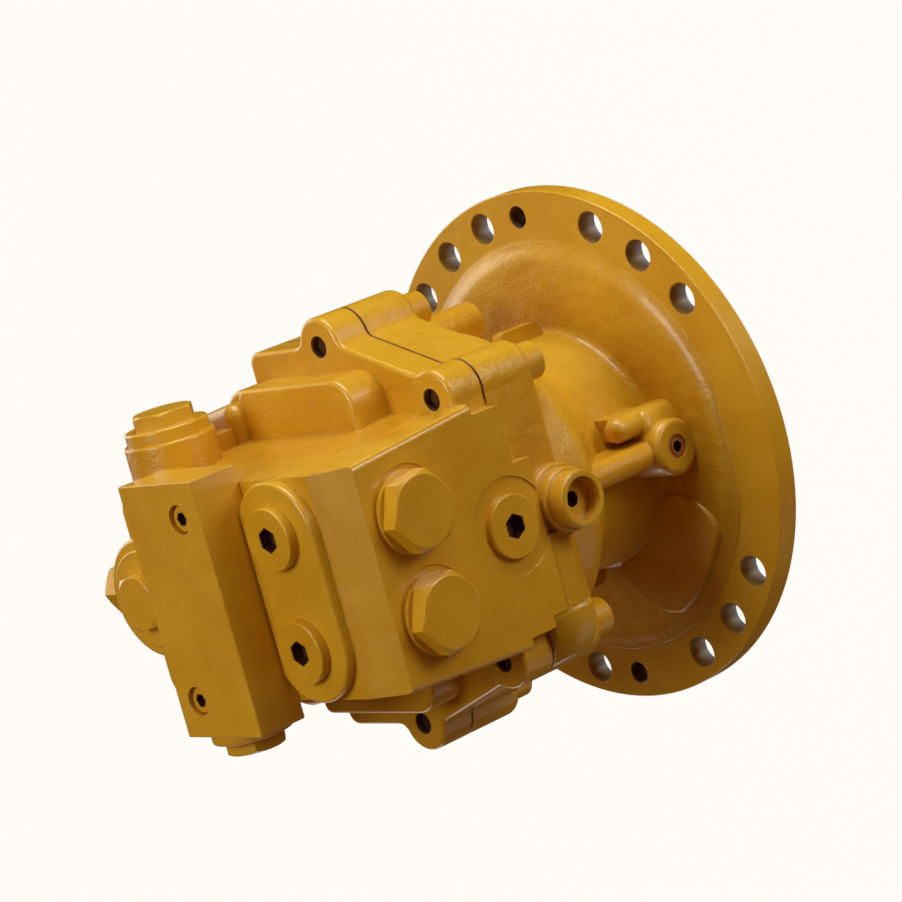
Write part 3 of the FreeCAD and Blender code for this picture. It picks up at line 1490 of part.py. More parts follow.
def reversal_block():
    body = box(block_low_x, block_high_x, -block_half_width, block_half_width, rear_z, block_top_z)
    body = body.makeChamfer(0.6, body.Edges)
    cuts = []
    port_z = rear_z + block_port_rise
    for side in (1, -1):
        x, y = block_screw_place(side)
        port_y = side * block_port_half_pitch
        cuts.append(disc(block_screw_radius + free_gap, rear_z - 1, block_top_z + 1, x, y))
        recess_z = block_top_z - block_screw_recess_depth
        cuts.append(disc(block_screw_recess_radius, recess_z, block_top_z + 1, x, y))
        cuts.append(disc(block_port_radius, rear_z - 1, port_z, block_centre_x, port_y))
        inner = block_port_radius + block_seal_gap
        cuts.append(ring_at(block_centre_x, port_y, inner, inner + block_seal_width, rear_z - 1,
                            rear_z + block_seal_depth))
    cuts.append(bar(block_port_radius, (block_centre_x, -block_port_half_pitch, port_z),
                    (block_centre_x, block_port_half_pitch, port_z)))
    return body.cut(cuts)


def ring_at(x, y, inner, outer, low_z, high_z):
    shape = ring(inner, outer, low_z, high_z)
    shape.translate(point(x, y, 0))
    return shape


def block_seals():
    inner = block_port_radius + block_seal_gap + fit_gap
    outer = block_port_radius + block_seal_gap + block_seal_width - fit_gap
    return [ring_at(block_centre_x, side * block_port_half_pitch, inner, outer, rear_z,
                    rear_z + block_seal_depth - fit_gap) for side in (1, -1)]


def block_screws():
    screws = []
    seat = block_top_z - block_screw_recess_depth
    top = seat + block_screw_head_height
    for side in (1, -1):
        x, y = block_screw_place(side)
        head = disc(block_screw_head_radius, seat, top, x, y)
        head = head.makeChamfer(0.8, edges_at(head, top))
        shank = disc(block_screw_radius, rear_z - block_screw_length, seat, x, y)
        socket = hexagon(block_screw_flats, (x, y, top - block_screw_socket_depth), (x, y, top + 1))
        screws.append(join([head, shank]).cut(socket))
    return screws


def round_boss_plug():
    seat = round_boss_z
    top = seat + round_plug_height
    flange = disc(round_plug_radius, seat, top, round_boss_x, 0)
    flange = flange.makeFillet(1.0, edges_at(flange, top))
    head = hexagon_head(round_plug_flats, (round_boss_x, 0, top),
                        (round_boss_x, 0, top + round_plug_head_height), round_plug_turn)
    thread = disc(round_plug_thread_radius, seat - round_plug_thread_length, seat, round_boss_x, 0)
    return join([flange, head, thread])


def gauge_plug():
    seat_x = round_boss_x - round_boss_radius - 1
    flange_x = seat_x - gauge_flange_thickness
    flange = bar(gauge_plug_flats / 2 + 2.5, (seat_x, 0, gauge_plug_z), (flange_x, 0, gauge_plug_z))
    head = hexagon_head(gauge_plug_flats, (flange_x, 0, gauge_plug_z), (gauge_plug_end_x, 0, gauge_plug_z))
    thread_x = seat_x + gauge_thread_length
    thread = bar(gauge_thread_radius, (seat_x, 0, gauge_plug_z), (thread_x, 0, gauge_plug_z))
    return join([flange, head, thread])


nodes = {
    "casing": casing,
    "valve_casing": valve_casing,
    "joint_seal": joint_seal,
    "joint_screws": joint_screws,
    "joint_dowels": dowel_pins,
    "oil_seal": oil_seal,
    "seal_retaining_ring": seal_retaining_ring,
    "front_bearing_cup": front_bearing_cup,
    "front_bearing_cone": front_bearing_cone,
    "front_bearing_rollers": front_bearing_rollers,
    "front_bearing_cage": front_bearing_cage,
    "rear_bearing_cup": rear_bearing_cup,
    "rear_bearing_sleeve": rear_bearing_sleeve,
    "rear_bearing_needles": rear_bearing_needles,
    "rear_bearing_cage": rear_bearing_cage,
    "drive_shaft": drive_shaft,
    "swash_plate": swash_plate,
    "swash_pins": swash_pins,
    "shoes": shoes,
    "retainer_plate": retainer_plate,
    "retainer_ball": retainer_ball,
    "push_pins": push_pins,
    "pistons": pistons,
    "cylinder_block": cylinder_block,
    "spring_seats": spring_seats,
    "block_spring": block_spring,
    "snap_ring": snap_ring,
    "friction_plates": friction_plates,
    "separator_plates": separator_plates,
    "brake_piston": brake_piston,
    "brake_seals": brake_seals,
    "brake_springs": brake_springs,
    "valve_plate": valve_plate,
    "valve_plate_pin": valve_plate_pin,
    "make_up_plugs": make_up_plugs,
    "make_up_seats": make_up_seats,
    "make_up_poppet_upper": lambda: make_up_poppet(1),
    "make_up_poppet_lower": lambda: make_up_poppet(-1),
    "make_up_spring_upper": lambda: make_up_spring(1),
    "make_up_spring_lower": lambda: make_up_spring(-1),
    "relief_plugs": relief_plugs,
    "relief_sleeves": relief_sleeves,
    "relief_poppet_upper": relief_poppet_top,
    "relief_poppet_lower": lambda: flipped(relief_poppet_top()),
    "relief_spring_upper": relief_spring_top,
    "relief_spring_lower": lambda: flipped(relief_spring_top()),
    "pad_plugs": pad_plugs,
    "plunger_upper": lambda: plunger(1),
    "plunger_lower": lambda: plunger(-1),
    "plunger_spring_upper": lambda: plunger_spring(1),
    "plunger_spring_lower": lambda: plunger_spring(-1),
    "side_plug": side_plug,
    "passage_plug": passage_plug,
    "passage_washer": passage_washer,
    "reversal_block": reversal_block,
    "block_screws": block_screws,
    "block_seals": block_seals,
    "round_boss_plug": round_boss_plug,
    "gauge_plug": gauge_plug,
}

os.makedirs("parts", exist_ok=True)
for name, make in nodes.items():
    made = make()
    shape = Part.makeCompound(made) if isinstance(made, list) else made
    shape.exportStep(f"parts/{name}.step")
    print(name, len(shape.Solids), round(shape.Volume), shape.isValid())
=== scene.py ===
import json
import math

import bmesh
import bpy
from mathutils import Matrix, Vector


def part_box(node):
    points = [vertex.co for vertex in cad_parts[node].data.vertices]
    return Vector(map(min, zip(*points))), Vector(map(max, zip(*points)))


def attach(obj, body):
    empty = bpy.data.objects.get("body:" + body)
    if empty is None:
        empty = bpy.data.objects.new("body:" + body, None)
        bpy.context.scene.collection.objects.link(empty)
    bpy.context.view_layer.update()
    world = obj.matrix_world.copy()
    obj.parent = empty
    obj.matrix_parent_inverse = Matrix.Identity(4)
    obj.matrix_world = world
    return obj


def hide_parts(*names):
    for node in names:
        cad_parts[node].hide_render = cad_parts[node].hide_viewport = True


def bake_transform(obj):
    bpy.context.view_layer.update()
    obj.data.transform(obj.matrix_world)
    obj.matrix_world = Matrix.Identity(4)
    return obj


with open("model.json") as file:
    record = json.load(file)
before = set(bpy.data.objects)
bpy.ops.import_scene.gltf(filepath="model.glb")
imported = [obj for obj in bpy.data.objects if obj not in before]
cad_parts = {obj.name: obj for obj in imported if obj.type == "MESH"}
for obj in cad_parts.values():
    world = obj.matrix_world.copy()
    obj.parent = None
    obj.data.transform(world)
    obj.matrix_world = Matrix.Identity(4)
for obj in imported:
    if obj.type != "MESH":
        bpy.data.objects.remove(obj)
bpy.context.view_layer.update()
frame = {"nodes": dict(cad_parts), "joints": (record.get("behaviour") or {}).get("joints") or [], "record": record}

nodes = frame["nodes"]
mm = 0.001

# Real sizes of the motor that the extra pieces take their places from, in millimetres
motor = {
    "flangeTop": 15.0, "boltCircle": 153.5, "boltRadius": 10.5,
    "boltAngles": (35.0, 50.5, 66.0, 103.5, 119.0, 134.5), "jackRadius": 7.4, "jackAngle": 90.0,
    "earCircle": 121.0, "earAngles": (90.0, 42.3, -42.3, -90.0, -137.7, 137.7), "earTapRadius": 7.0,
    "jointZ": 174.0, "earTopZ": 199.0, "screwHeadZ": 114.0, "screwTipDepth": 20.0,
    "plugFaceX": 116.0, "spotFaceDepth": 0.8, "portFaceX": -107.0,
}


def polar(radius, degrees):
    angle = math.radians(degrees)
    return radius * math.cos(angle), radius * math.sin(angle)


def newMaterial(name):
    material = bpy.data.materials.new(name)
    material.use_nodes = True
    tree = material.node_tree
    return material, tree, tree.nodes["Principled BSDF"]


def addNode(tree, kind, **values):
    node = tree.nodes.new(kind)
    for key, value in values.items():
        setattr(node, key, value)
    return node


def objectPlace(tree):
    return addNode(tree, "ShaderNodeTexCoord").outputs["Object"]


def axesOf(tree, place):
    parts = addNode(tree, "ShaderNodeSeparateXYZ")
    tree.links.new(place, parts.inputs["Vector"])
    return parts.outputs


def mathNode(tree, operation, first, second=None):
    node = addNode(tree, "ShaderNodeMath", operation=operation)
    for slot, value in enumerate((first, second)):
        if value is None:
            continue
        if isinstance(value, (int, float)):
            node.inputs[slot].default_value = value
        else:
            tree.links.new(value, node.inputs[slot])
    return node.outputs[0]


def noise(tree, place, scale, detail=2.0, roughness=0.5):
    node = addNode(tree, "ShaderNodeTexNoise")
    node.inputs["Scale"].default_value = scale
    node.inputs["Detail"].default_value = detail
    node.inputs["Roughness"].default_value = roughness
    tree.links.new(place, node.inputs["Vector"])
    return node.outputs["Fac"]


def spread(tree, value, low, high, newLow, newHigh):
    node = addNode(tree, "ShaderNodeMapRange", clamp=True)
    tree.links.new(value, node.inputs["Value"])
    node.inputs["From Min"].default_value = low
    node.inputs["From Max"].default_value = high
    node.inputs["To Min"].default_value = newLow
    node.inputs["To Max"].default_value = newHigh
    return node.outputs["Result"]


def mixColours(tree, factor, first, second):
    node = addNode(tree, "ShaderNodeMix", data_type="RGBA")
    if isinstance(factor, (int, float)):
        node.inputs[0].default_value = factor
    else:
        tree.links.new(factor, node.inputs[0])
    for slot, value in ((6, first), (7, second)):
        if isinstance(value, tuple):
            node.inputs[slot].default_value = (*value, 1.0)
        else:
            tree.links.new(value, node.inputs[slot])
    return node.outputs[2]


# One where the value lies beyond a limit in millimetres on the given side, none before it
def beyond(tree, value, limit, side):
    edge = 0.2
    outward = mathNode(tree, "MULTIPLY", value, side)
    return spread(tree, outward, side * limit * mm - edge * mm, side * limit * mm, 0.0, 1.0)


# Machined faces lie beyond planes across an axis, beyond a radius, or beyond one slanted plane
def machinedMask(tree, place, planes, rim, slant):
    axes = axesOf(tree, place)
    masks = [beyond(tree, axes[axis], limit, side) for axis, limit, side in planes]
    if rim:
        across = mathNode(tree, "POWER", axes["X"], 2.0)
        along = mathNode(tree, "POWER", axes["Y"], 2.0)
        reach = mathNode(tree, "SQRT", mathNode(tree, "ADD", across, along))
        masks.append(beyond(tree, reach, rim, 1))
    if slant:
        across = mathNode(tree, "MULTIPLY", axes["X"], slant["x"])
        along = mathNode(tree, "MULTIPLY", axes["Z"], slant["z"])
        masks.append(beyond(tree, mathNode(tree, "ADD", across, along), slant["limit"], 1))
    whole = masks[0]
    for mask in masks[1:]:
        whole = mathNode(tree, "MAXIMUM", whole, mask)
    return whole


# Dark line of shadow where the two castings meet, in millimetres. It is wide on the +Y side, thin
# elsewhere, and filled with paint along the middle of the side with the machined face.
seam = {"widensY": (70.0, 74.0), "halfWidth": (0.35, 0.85), "fade": 0.35, "darkest": 0.9,
        "filledX": 96.0, "filledY": (70.0, 71.0)}


def jointLine(tree, place):
    axes = axesOf(tree, place)
    away = mathNode(tree, "ABSOLUTE", mathNode(tree, "SUBTRACT", axes["Z"], motor["jointZ"] * mm))
    wide = spread(tree, axes["Y"], *(value * mm for value in seam["widensY"] + seam["halfWidth"]))
    inside = mathNode(tree, "SUBTRACT", away, wide)
    darkness = spread(tree, inside, 0.0, seam["fade"] * mm, seam["darkest"], 0.0)
    nearMiddle = spread(tree, mathNode(tree, "ABSOLUTE", axes["Y"]),
                        *(value * mm for value in seam["filledY"]), 1.0, 0.0)
    filled = mathNode(tree, "MULTIPLY", beyond(tree, axes["X"], seam["filledX"], 1), nearMiddle)
    return mathNode(tree, "MULTIPLY", darkness, mathNode(tree, "SUBTRACT", 1.0, filled))


# Golden enamel: a semi-gloss coat over cast skin, flatter on machined faces, with painted shade in its hollows and
# a painted shadow along the joint of the castings. Its bump height and edge radius are in millimetres.
enamel = {
    "colour": (0.735, 0.395, 0.013), "deepColour": (0.58, 0.25, 0.004), "paleColour": (0.80, 0.48, 0.035),
    "soot": (0.16, 0.052, 0.003), "evenness": 0.62, "cloudScale": 22.0,
    "hollowPointiness": (0.42, 0.495), "hollowDepth": 0.65,
    "shineScale": 60.0, "shineSmoother": 0.06, "shineRougher": 0.08,
    "specular": 0.5, "coat": 0.5, "coatRoughness": 0.14,
    "grainScale": 480.0, "lumpScale": 90.0, "lumpShare": 2.0, "bumpHeight": 0.6,
    "edgeSamples": 8, "machinedSkin": 0.22, "machinedEdge": 0.5,
}


def enamelMaterial(name, castHeight, edgeRadius, roughness, planes=(), rim=None, joint=False, slant=None):
    material, tree, shader = newMaterial(name)
    place = objectPlace(tree)
    cloudy = spread(tree, noise(tree, place, enamel["cloudScale"], 4.0, 0.6), 0.35, 0.7, 0.0, 1.0)
    colour = mixColours(tree, cloudy, enamel["deepColour"], enamel["paleColour"])
    colour = mixColours(tree, enamel["evenness"], colour, enamel["colour"])
    # Painted shade: where the pointiness is low, in hollows and creases, the colour goes towards the deep colour
    pointiness = addNode(tree, "ShaderNodeNewGeometry").outputs["Pointiness"]
    hollowShade = spread(tree, pointiness, *enamel["hollowPointiness"], enamel["hollowDepth"], 0.0)
    colour = mixColours(tree, hollowShade, colour, enamel["deepColour"])
    # Painted shadow: a dark line along the joint of the two castings
    if joint:
        colour = mixColours(tree, jointLine(tree, place), colour, enamel["soot"])
    tree.links.new(colour, shader.inputs["Base Color"])

    shine = spread(tree, noise(tree, place, enamel["shineScale"], 3.0, 0.6), 0.3, 0.7,
                   roughness - enamel["shineSmoother"], roughness + enamel["shineRougher"])
    tree.links.new(shine, shader.inputs["Roughness"])
    shader.inputs["Specular IOR Level"].default_value = enamel["specular"]
    shader.inputs["Coat Weight"].default_value = enamel["coat"]
    shader.inputs["Coat Roughness"].default_value = enamel["coatRoughness"]

    grain = noise(tree, place, enamel["grainScale"], 3.0, 0.55)
    lumps = noise(tree, place, enamel["lumpScale"], 2.0, 0.5)
    skin = mathNode(tree, "ADD", mathNode(tree, "MULTIPLY", grain, castHeight),
                    mathNode(tree, "MULTIPLY", lumps, castHeight * enamel["lumpShare"]))
    rounded = addNode(tree, "ShaderNodeBevel", samples=enamel["edgeSamples"])
    rounded.inputs["Radius"].default_value = edgeRadius * mm
    if planes:
        mask = machinedMask(tree, place, planes, rim, slant)
        skin = mathNode(tree, "MULTIPLY", skin, spread(tree, mask, 0.0, 1.0, 1.0, enamel["machinedSkin"]))
        tree.links.new(spread(tree, mask, 0.0, 1.0, edgeRadius * mm, enamel["machinedEdge"] * mm),
                       rounded.inputs["Radius"])
    bump = addNode(tree, "ShaderNodeBump")
    bump.inputs["Distance"].default_value = enamel["bumpHeight"] * mm
    bump.inputs["Strength"].default_value = 1.0
    tree.links.new(rounded.outputs["Normal"], bump.inputs["Normal"])
    tree.links.new(skin, bump.inputs["Height"])
    tree.links.new(bump.outputs["Normal"], shader.inputs["Normal"])
    return material


# Turned, cast or oxidised metal: duller and rougher in streaks
metal = {"dullShare": 0.72, "rougher": 0.1, "smoother": 0.05}


def metalMaterial(name, colour, roughness, grainScale, grainDepth, metallic=1.0):
    material, tree, shader = newMaterial(name)
    streaks = noise(tree, objectPlace(tree), grainScale, 4.0, 0.6)
    dull = tuple(channel * metal["dullShare"] for channel in colour)
    shade = mixColours(tree, spread(tree, streaks, 0.3, 0.7, 0.0, 1.0), dull, colour)
    shine = spread(tree, streaks, 0.3, 0.7, roughness + metal["rougher"], roughness - metal["smoother"])
    tree.links.new(shade, shader.inputs["Base Color"])
    tree.links.new(shine, shader.inputs["Roughness"])
    shader.inputs["Metallic"].default_value = metallic
    bump = addNode(tree, "ShaderNodeBump")
    bump.inputs["Distance"].default_value = grainDepth * mm
    tree.links.new(streaks, bump.inputs["Height"])
    tree.links.new(bump.outputs["Normal"], shader.inputs["Normal"])
    return material


# Flange bore: golden overspray near the casting side, bare drilled metal towards the far side
overspray = {
    "painted": (0.44, 0.25, 0.05), "bare": (0.42, 0.44, 0.48), "streakScale": 700.0, "ragged": 6.0,
    "fadesZ": (4.0, 14.0), "metallic": (0.05, 0.4), "roughness": 0.32,
}


def boreMaterial(name):
    material, tree, shader = newMaterial(name)
    place = objectPlace(tree)
    streaks = noise(tree, place, overspray["streakScale"], 3.0, 0.6)
    ragged = mathNode(tree, "ADD", axesOf(tree, place)["Z"],
                      mathNode(tree, "MULTIPLY", streaks, overspray["ragged"] * mm))
    bare = spread(tree, ragged, *(value * mm for value in overspray["fadesZ"]), 1.0, 0.0)
    colour = mixColours(tree, bare, overspray["painted"], overspray["bare"])
    tree.links.new(colour, shader.inputs["Base Color"])
    tree.links.new(spread(tree, bare, 0.0, 1.0, *overspray["metallic"]), shader.inputs["Metallic"])
    shader.inputs["Roughness"].default_value = overspray["roughness"]
    return material


seals = {"dark": (0.012, 0.012, 0.012), "pale": (0.03, 0.03, 0.032), "speckScale": 500.0, "roughness": 0.6}


def rubberMaterial(name):
    material, tree, shader = newMaterial(name)
    specks = noise(tree, objectPlace(tree), seals["speckScale"], 3.0)
    tree.links.new(mixColours(tree, specks, seals["dark"], seals["pale"]), shader.inputs["Base Color"])
    shader.inputs["Roughness"].default_value = seals["roughness"]
    return material


# Machined faces of the castings: axis, place in millimetres and the side on which they lie
casingFaces = (("Z", 15.1, -1), ("X", 131.8, 1))
casingRim = 169.6
valveFaces = (("X", 115.0, 1), ("Z", 303.6, 1), ("X", -106.6, -1), ("Y", 91.6, 1), ("Y", -91.6, -1))
# Slanted smooth face between the machined face and the rear: its direction, and how far out it lies
valveSlant = {"x": 0.4211, "z": 0.9070, "limit": 313.06}

materials = {
    "casingPaint": enamelMaterial("casingEnamel", 0.75, 1.6, 0.33, casingFaces, casingRim, True),
    "valvePaint": enamelMaterial("valveCasingEnamel", 0.8, 1.4, 0.33, valveFaces, None, True, valveSlant),
    "facePaint": enamelMaterial("machinedEnamel", 0.2, 0.5, 0.36),
    "hardwarePaint": enamelMaterial("hardwareEnamel", 0.14, 0.5, 0.33),
    "socketDark": metalMaterial("socketShadow", (0.085, 0.026, 0.006), 0.5, 500.0, 0.05, 0.1),
    "threadDark": metalMaterial("threadOxide", (0.11, 0.042, 0.014), 0.45, 500.0, 0.05, 0.3),
    "brightBore": boreMaterial("brightBore"),
    "steel": metalMaterial("groundSteel", (0.55, 0.55, 0.57), 0.26, 700.0, 0.04),
    "castSteel": metalMaterial("castSteel", (0.30, 0.30, 0.31), 0.45, 300.0, 0.15),
    "darkSteel": metalMaterial("darkSteel", (0.03, 0.022, 0.016), 0.42, 500.0, 0.06, 0.7),
    "copper": metalMaterial("copper", (0.68, 0.32, 0.17), 0.38, 500.0, 0.05, 0.5),
    "bronze": metalMaterial("bronze", (0.58, 0.38, 0.15), 0.32, 600.0, 0.05),
    "lining": metalMaterial("frictionLining", (0.20, 0.15, 0.09), 0.7, 800.0, 0.1, 0.2),
    "rubber": rubberMaterial("sealRubber"),
}
slotMaterials = {
    "painted_casting": "casingPaint", "painted_block": "facePaint", "painted_hardware": "hardwarePaint",
    "seal_rubber": "rubber", "copper_washer": "copper", "dark_steel": "darkSteel",
    "friction_lining": "lining", "bronze": "bronze", "cast_steel": "castSteel", "machined_steel": "steel",
}
slotOf = {part["node"]: part["material_slot"] for part in frame["record"]["subparts"]}
for nodeName, cadObject in nodes.items():
    cadObject.data.materials.clear()
    cadObject.data.materials.append(materials[slotMaterials[slotOf[nodeName]]])
nodes["valve_casing"].data.materials[0] = materials["valvePaint"]
nodes["passage_plug"].data.materials[0] = materials["copper"]
print("materials ready")


# A closed cup that opens along its own +Z at the origin, with a given number of sides
def addCup(mesh, sides, radius, wall, depth, floor, turn):
    firstCorner = -90.0
    angle = math.radians(turn + firstCorner)
    made = bmesh.ops.create_cone(mesh, cap_ends=True, segments=sides, radius1=radius, radius2=radius,
                                 depth=depth)
    verts = made["verts"]
    bmesh.ops.rotate(mesh, verts=verts, cent=(0.0, 0.0, 0.0), matrix=Matrix.Rotation(angle, 3, "Z"))
    bmesh.ops.translate(mesh, verts=verts, vec=(0.0, 0.0, -depth / 2))
    mouth = [face for face in {face for vert in verts for face in vert.link_faces}
             if face.calc_center_median().z > -depth * 0.01]
    bmesh.ops.inset_region(mesh, faces=mouth, thickness=wall, use_even_offset=True)
    sunk = bmesh.ops.extrude_face_region(mesh, geom=mouth)
    bottom = [item for item in sunk["geom"] if isinstance(item, bmesh.types.BMVert)]
    bmesh.ops.delete(mesh, geom=mouth, context="FACES_ONLY")
    bmesh.ops.translate(mesh, verts=bottom, vec=(0.0, 0.0, floor - depth))


# A closed ring: an outline of radii and heights spun once round its own Z
def addRing(mesh, outline, steps):
    verts = [mesh.verts.new((x, 0.0, z)) for x, z in outline]
    edges = [mesh.edges.new((verts[step], verts[(step + 1) % len(verts)])) for step in range(len(verts))]
    bmesh.ops.spin(mesh, geom=verts + edges, cent=(0.0, 0.0, 0.0), axis=(0.0, 0.0, 1.0), dvec=(0.0, 0.0, 0.0),
                   angle=math.tau, steps=steps, use_merge=True)


# A ring of threads, closed all round: smooth outside, grooved inside
def addThreads(mesh, radius, wall, depth, pitch, length, steps):
    turns = int(length / pitch)
    crest, root = radius - wall, radius - wall - depth
    outline = [(radius, 0.0), (crest, 0.0)]
    for turn in range(turns):
        low = -turn * pitch
        outline += [(root, low - pitch * 0.35), (root, low - pitch * 0.5),
                    (crest, low - pitch * 0.85), (crest, low - pitch)]
    outline += [(radius, -turns * pitch)]
    addRing(mesh, outline, steps)


# Lays pieces made round their own +Z along an axis of the motor, each at its own place
def addPiece(name, material, body, places, build, smooth=True):
    sharpAngle = 0.6
    whole = bmesh.new()
    for place, axis in places:
        single = bmesh.new()
        build(single)
        bmesh.ops.remove_doubles(single, verts=single.verts, dist=1e-4)
        turn = Vector((0.0, 0.0, 1.0)).rotation_difference(Vector(axis)).to_matrix().to_4x4()
        bmesh.ops.transform(single, matrix=Matrix.Translation(place) @ turn, verts=single.verts)
        carrier = bpy.data.meshes.new("carrier")
        single.to_mesh(carrier)
        single.free()
        whole.from_mesh(carrier)
        bpy.data.meshes.remove(carrier)
    bmesh.ops.scale(whole, vec=(mm, mm, mm), verts=whole.verts)
    bmesh.ops.recalc_face_normals(whole, faces=whole.faces)
    for face in whole.faces:
        face.smooth = smooth
    for edge in whole.edges:
        if len(edge.link_faces) == 2 and edge.calc_face_angle() > sharpAngle:
            edge.smooth = False
    data = bpy.data.meshes.new(name)
    whole.to_mesh(data)
    whole.free()
    piece = bpy.data.objects.new(name, data)
    bpy.context.scene.collection.objects.link(piece)
    data.materials.append(materials[material])
    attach(piece, body)


# Places on the ear circle at one height, all opening the same way
def earPlaces(z, axis):
    return [((*polar(motor["earCircle"], angle), z), axis) for angle in motor["earAngles"]]


# Hexagon sockets of the plugs and screws: dark linings from a little below the mouth (the drop) paint the shade
# inside the sockets. Depths are those of the lining.
def addSocketLiners():
    fit = {"gap": 0.06, "floor": 0.3}
    plug = {"flats": 14.0, "wall": 0.3, "depth": 7.5, "drop": 0.5, "turn": 30.0,
            "padX": 55.6, "padY": 34.5, "padTopZ": 317.5, "sideHead": 3.8, "sideY": -2.0, "sideZ": 187.0}
    blockScrew = {"flats": 8.0, "wall": 0.25, "depth": 4.7, "drop": 0.3, "turn": 0.0, "topZ": 336.5,
                  "places": ((6.65, 56.0), (-25.35, -56.0))}
    smallPlug = {"flats": 7.0, "wall": 0.2, "depth": 3.7, "drop": 0.2, "turn": 0.0, "endX": 107.7, "z": 33.0}
    earScrew = {"flats": 14.0, "wall": 0.3, "depth": 7.5, "drop": 0.5, "turn": 0.0}

    def addSockets(name, socket, places):
        radius = (socket["flats"] / 2 - fit["gap"]) * 2 / math.sqrt(3)

        def build(mesh):
            addCup(mesh, 6, radius, socket["wall"], socket["depth"], fit["floor"], socket["turn"])
        addPiece(name, "socketDark", "housing", places, build, False)

    addSockets("padPlugSockets", plug,
               [((plug["padX"], side * plug["padY"], plug["padTopZ"] - plug["drop"]), (0, 0, 1))
                for side in (1, -1)])
    sideX = motor["plugFaceX"] - motor["spotFaceDepth"] + plug["sideHead"] - plug["drop"]
    addSockets("sidePlugSocket", plug, [((sideX, plug["sideY"], plug["sideZ"]), (1, 0, 0))])
    addSockets("blockScrewSockets", blockScrew,
               [((x, y, blockScrew["topZ"] - blockScrew["drop"]), (0, 0, 1))
                for x, y in blockScrew["places"]])
    addSockets("passagePlugSocket", smallPlug,
               [((smallPlug["endX"] - smallPlug["drop"], 0.0, smallPlug["z"]), (1, 0, 0))])
    addSockets("jointScrewSockets", earScrew, earPlaces(motor["screwHeadZ"] + earScrew["drop"], (0, 0, -1)))


# Tapped holes left bare by the paint, with the tips of the screws in them, and a dark lining that paints the shade
# deep in the drain drill
def addThreadLiners():
    def addTapped(name, material, thread, places):
        def build(mesh):
            addThreads(mesh, thread["radius"], thread["wall"], thread["depth"], thread["pitch"],
                       thread["length"], thread["steps"])
        addPiece(name, material, "housing", places, build)

    ear = {"radius": motor["earTapRadius"] - 0.04, "wall": 0.25, "depth": 0.6, "pitch": 2.0, "length": 4.6,
           "steps": 48, "drop": 0.3}
    addTapped("earThreads", "threadDark", ear,
              earPlaces(motor["earTopZ"] - ear["drop"], (0, 0, 1)))

    tip = {"radius": motor["earTapRadius"] - 0.05, "wall": 0.4, "depth": 0.7, "floor": 0.2, "lift": 0.75}

    def buildTip(mesh):
        addCup(mesh, 40, tip["radius"], tip["wall"], tip["depth"], tip["floor"], 0.0)
    tipZ = motor["jointZ"] + motor["screwTipDepth"] + tip["lift"]
    addPiece("earThreadFloors", "threadDark", "housing", earPlaces(tipZ, (0, 0, 1)), buildTip)

    # Painted shade: a dark lining with a floor inside the drain drill
    drill = {"radius": 4.95, "wall": 0.3, "depth": 20.0, "floor": 0.4, "mouthX": 121.3, "z": 141.0}

    def buildDrill(mesh):
        addCup(mesh, 40, drill["radius"], drill["wall"], drill["depth"], drill["floor"], 0.0)
    addPiece("drainDrillLining", "threadDark", "housing",
             [((drill["mouthX"], 0.0, drill["z"]), (1, 0, 0))], buildDrill)

    jack = {"radius": motor["jackRadius"] - 0.04, "wall": 0.25, "depth": 0.7, "pitch": 2.0, "length": 14.4,
            "steps": 48, "drop": 0.3}
    addTapped("jackThreads", "threadDark", jack,
              [((*polar(motor["boltCircle"], side * motor["jackAngle"]), motor["flangeTop"] - jack["drop"]),
                (0, 0, 1)) for side in (1, -1)])

    port = {"radius": 15.2 - 0.05, "wall": 0.3, "depth": 0.8, "pitch": 2.0, "length": 18.5, "steps": 64,
            "drop": 0.8, "y": 43.0, "z": 207.0}
    addTapped("portThreads", "steel", port,
              [((motor["portFaceX"] + port["drop"], side * port["y"], port["z"]), (-1, 0, 0))
               for side in (1, -1)])


# Bright drilled bores of the flange, the paint broken away at their lips
def addFlangeBores():
    bore = {"wall": 0.35, "gap": 0.05, "inset": 0.25, "chamfer": 0.2, "steps": 64}
    radius = motor["boltRadius"] - bore["gap"]
    inner = radius - bore["wall"]
    low = 2 * bore["inset"] - motor["flangeTop"]
    outline = [(radius, 0.0), (inner + bore["chamfer"], 0.0), (inner, -bore["chamfer"]),
               (inner, low + bore["chamfer"]), (inner + bore["chamfer"], low), (radius, low)]

    def build(mesh):
        addRing(mesh, outline, bore["steps"])
    high = motor["flangeTop"] - bore["inset"]
    places = [((*polar(motor["boltCircle"], side * angle), high), (0, 0, 1))
              for angle in motor["boltAngles"] for side in (1, -1)]
    addPiece("flangeBores", "brightBore", "housing", places, build)


addSocketLiners()
addThreadLiners()
addFlangeBores()
print("hole linings ready")


# A cast form given by its outline across the shaft, drawn out along it and rounded all over, or only
# round its low rim
def addCasting(name, outline, lowZ, highZ, rounding, paint, rimOnly=False):
    segments = 5
    mesh = bmesh.new()
    verts = [mesh.verts.new((x * mm, y * mm, lowZ * mm)) for x, y in outline]
    floor = mesh.faces.new(verts)
    raised = bmesh.ops.extrude_face_region(mesh, geom=[floor], use_keep_orig=True)
    lifted = [item for item in raised["geom"] if isinstance(item, bmesh.types.BMVert)]
    bmesh.ops.translate(mesh, verts=lifted, vec=(0.0, 0.0, (highZ - lowZ) * mm))
    bmesh.ops.recalc_face_normals(mesh, faces=mesh.faces)
    edges = list(mesh.edges)
    if rimOnly:
        edges = [edge for edge in edges if all(vert.co.z < (lowZ + 1) * mm for vert in edge.verts)]
    bmesh.ops.bevel(mesh, geom=edges, offset=rounding * mm, offset_type="OFFSET", segments=segments,
                    profile=0.5, affect="EDGES", material=-1, clamp_overlap=True)
    bmesh.ops.remove_doubles(mesh, verts=mesh.verts, dist=1e-6)
    for face in mesh.faces:
        face.smooth = True
    data = bpy.data.meshes.new(name)
    mesh.to_mesh(data)
    mesh.free()
    data.materials.append(materials[paint])
    casting = bpy.data.objects.new(name, data)
    bpy.context.scene.collection.objects.link(casting)
    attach(casting, "housing")


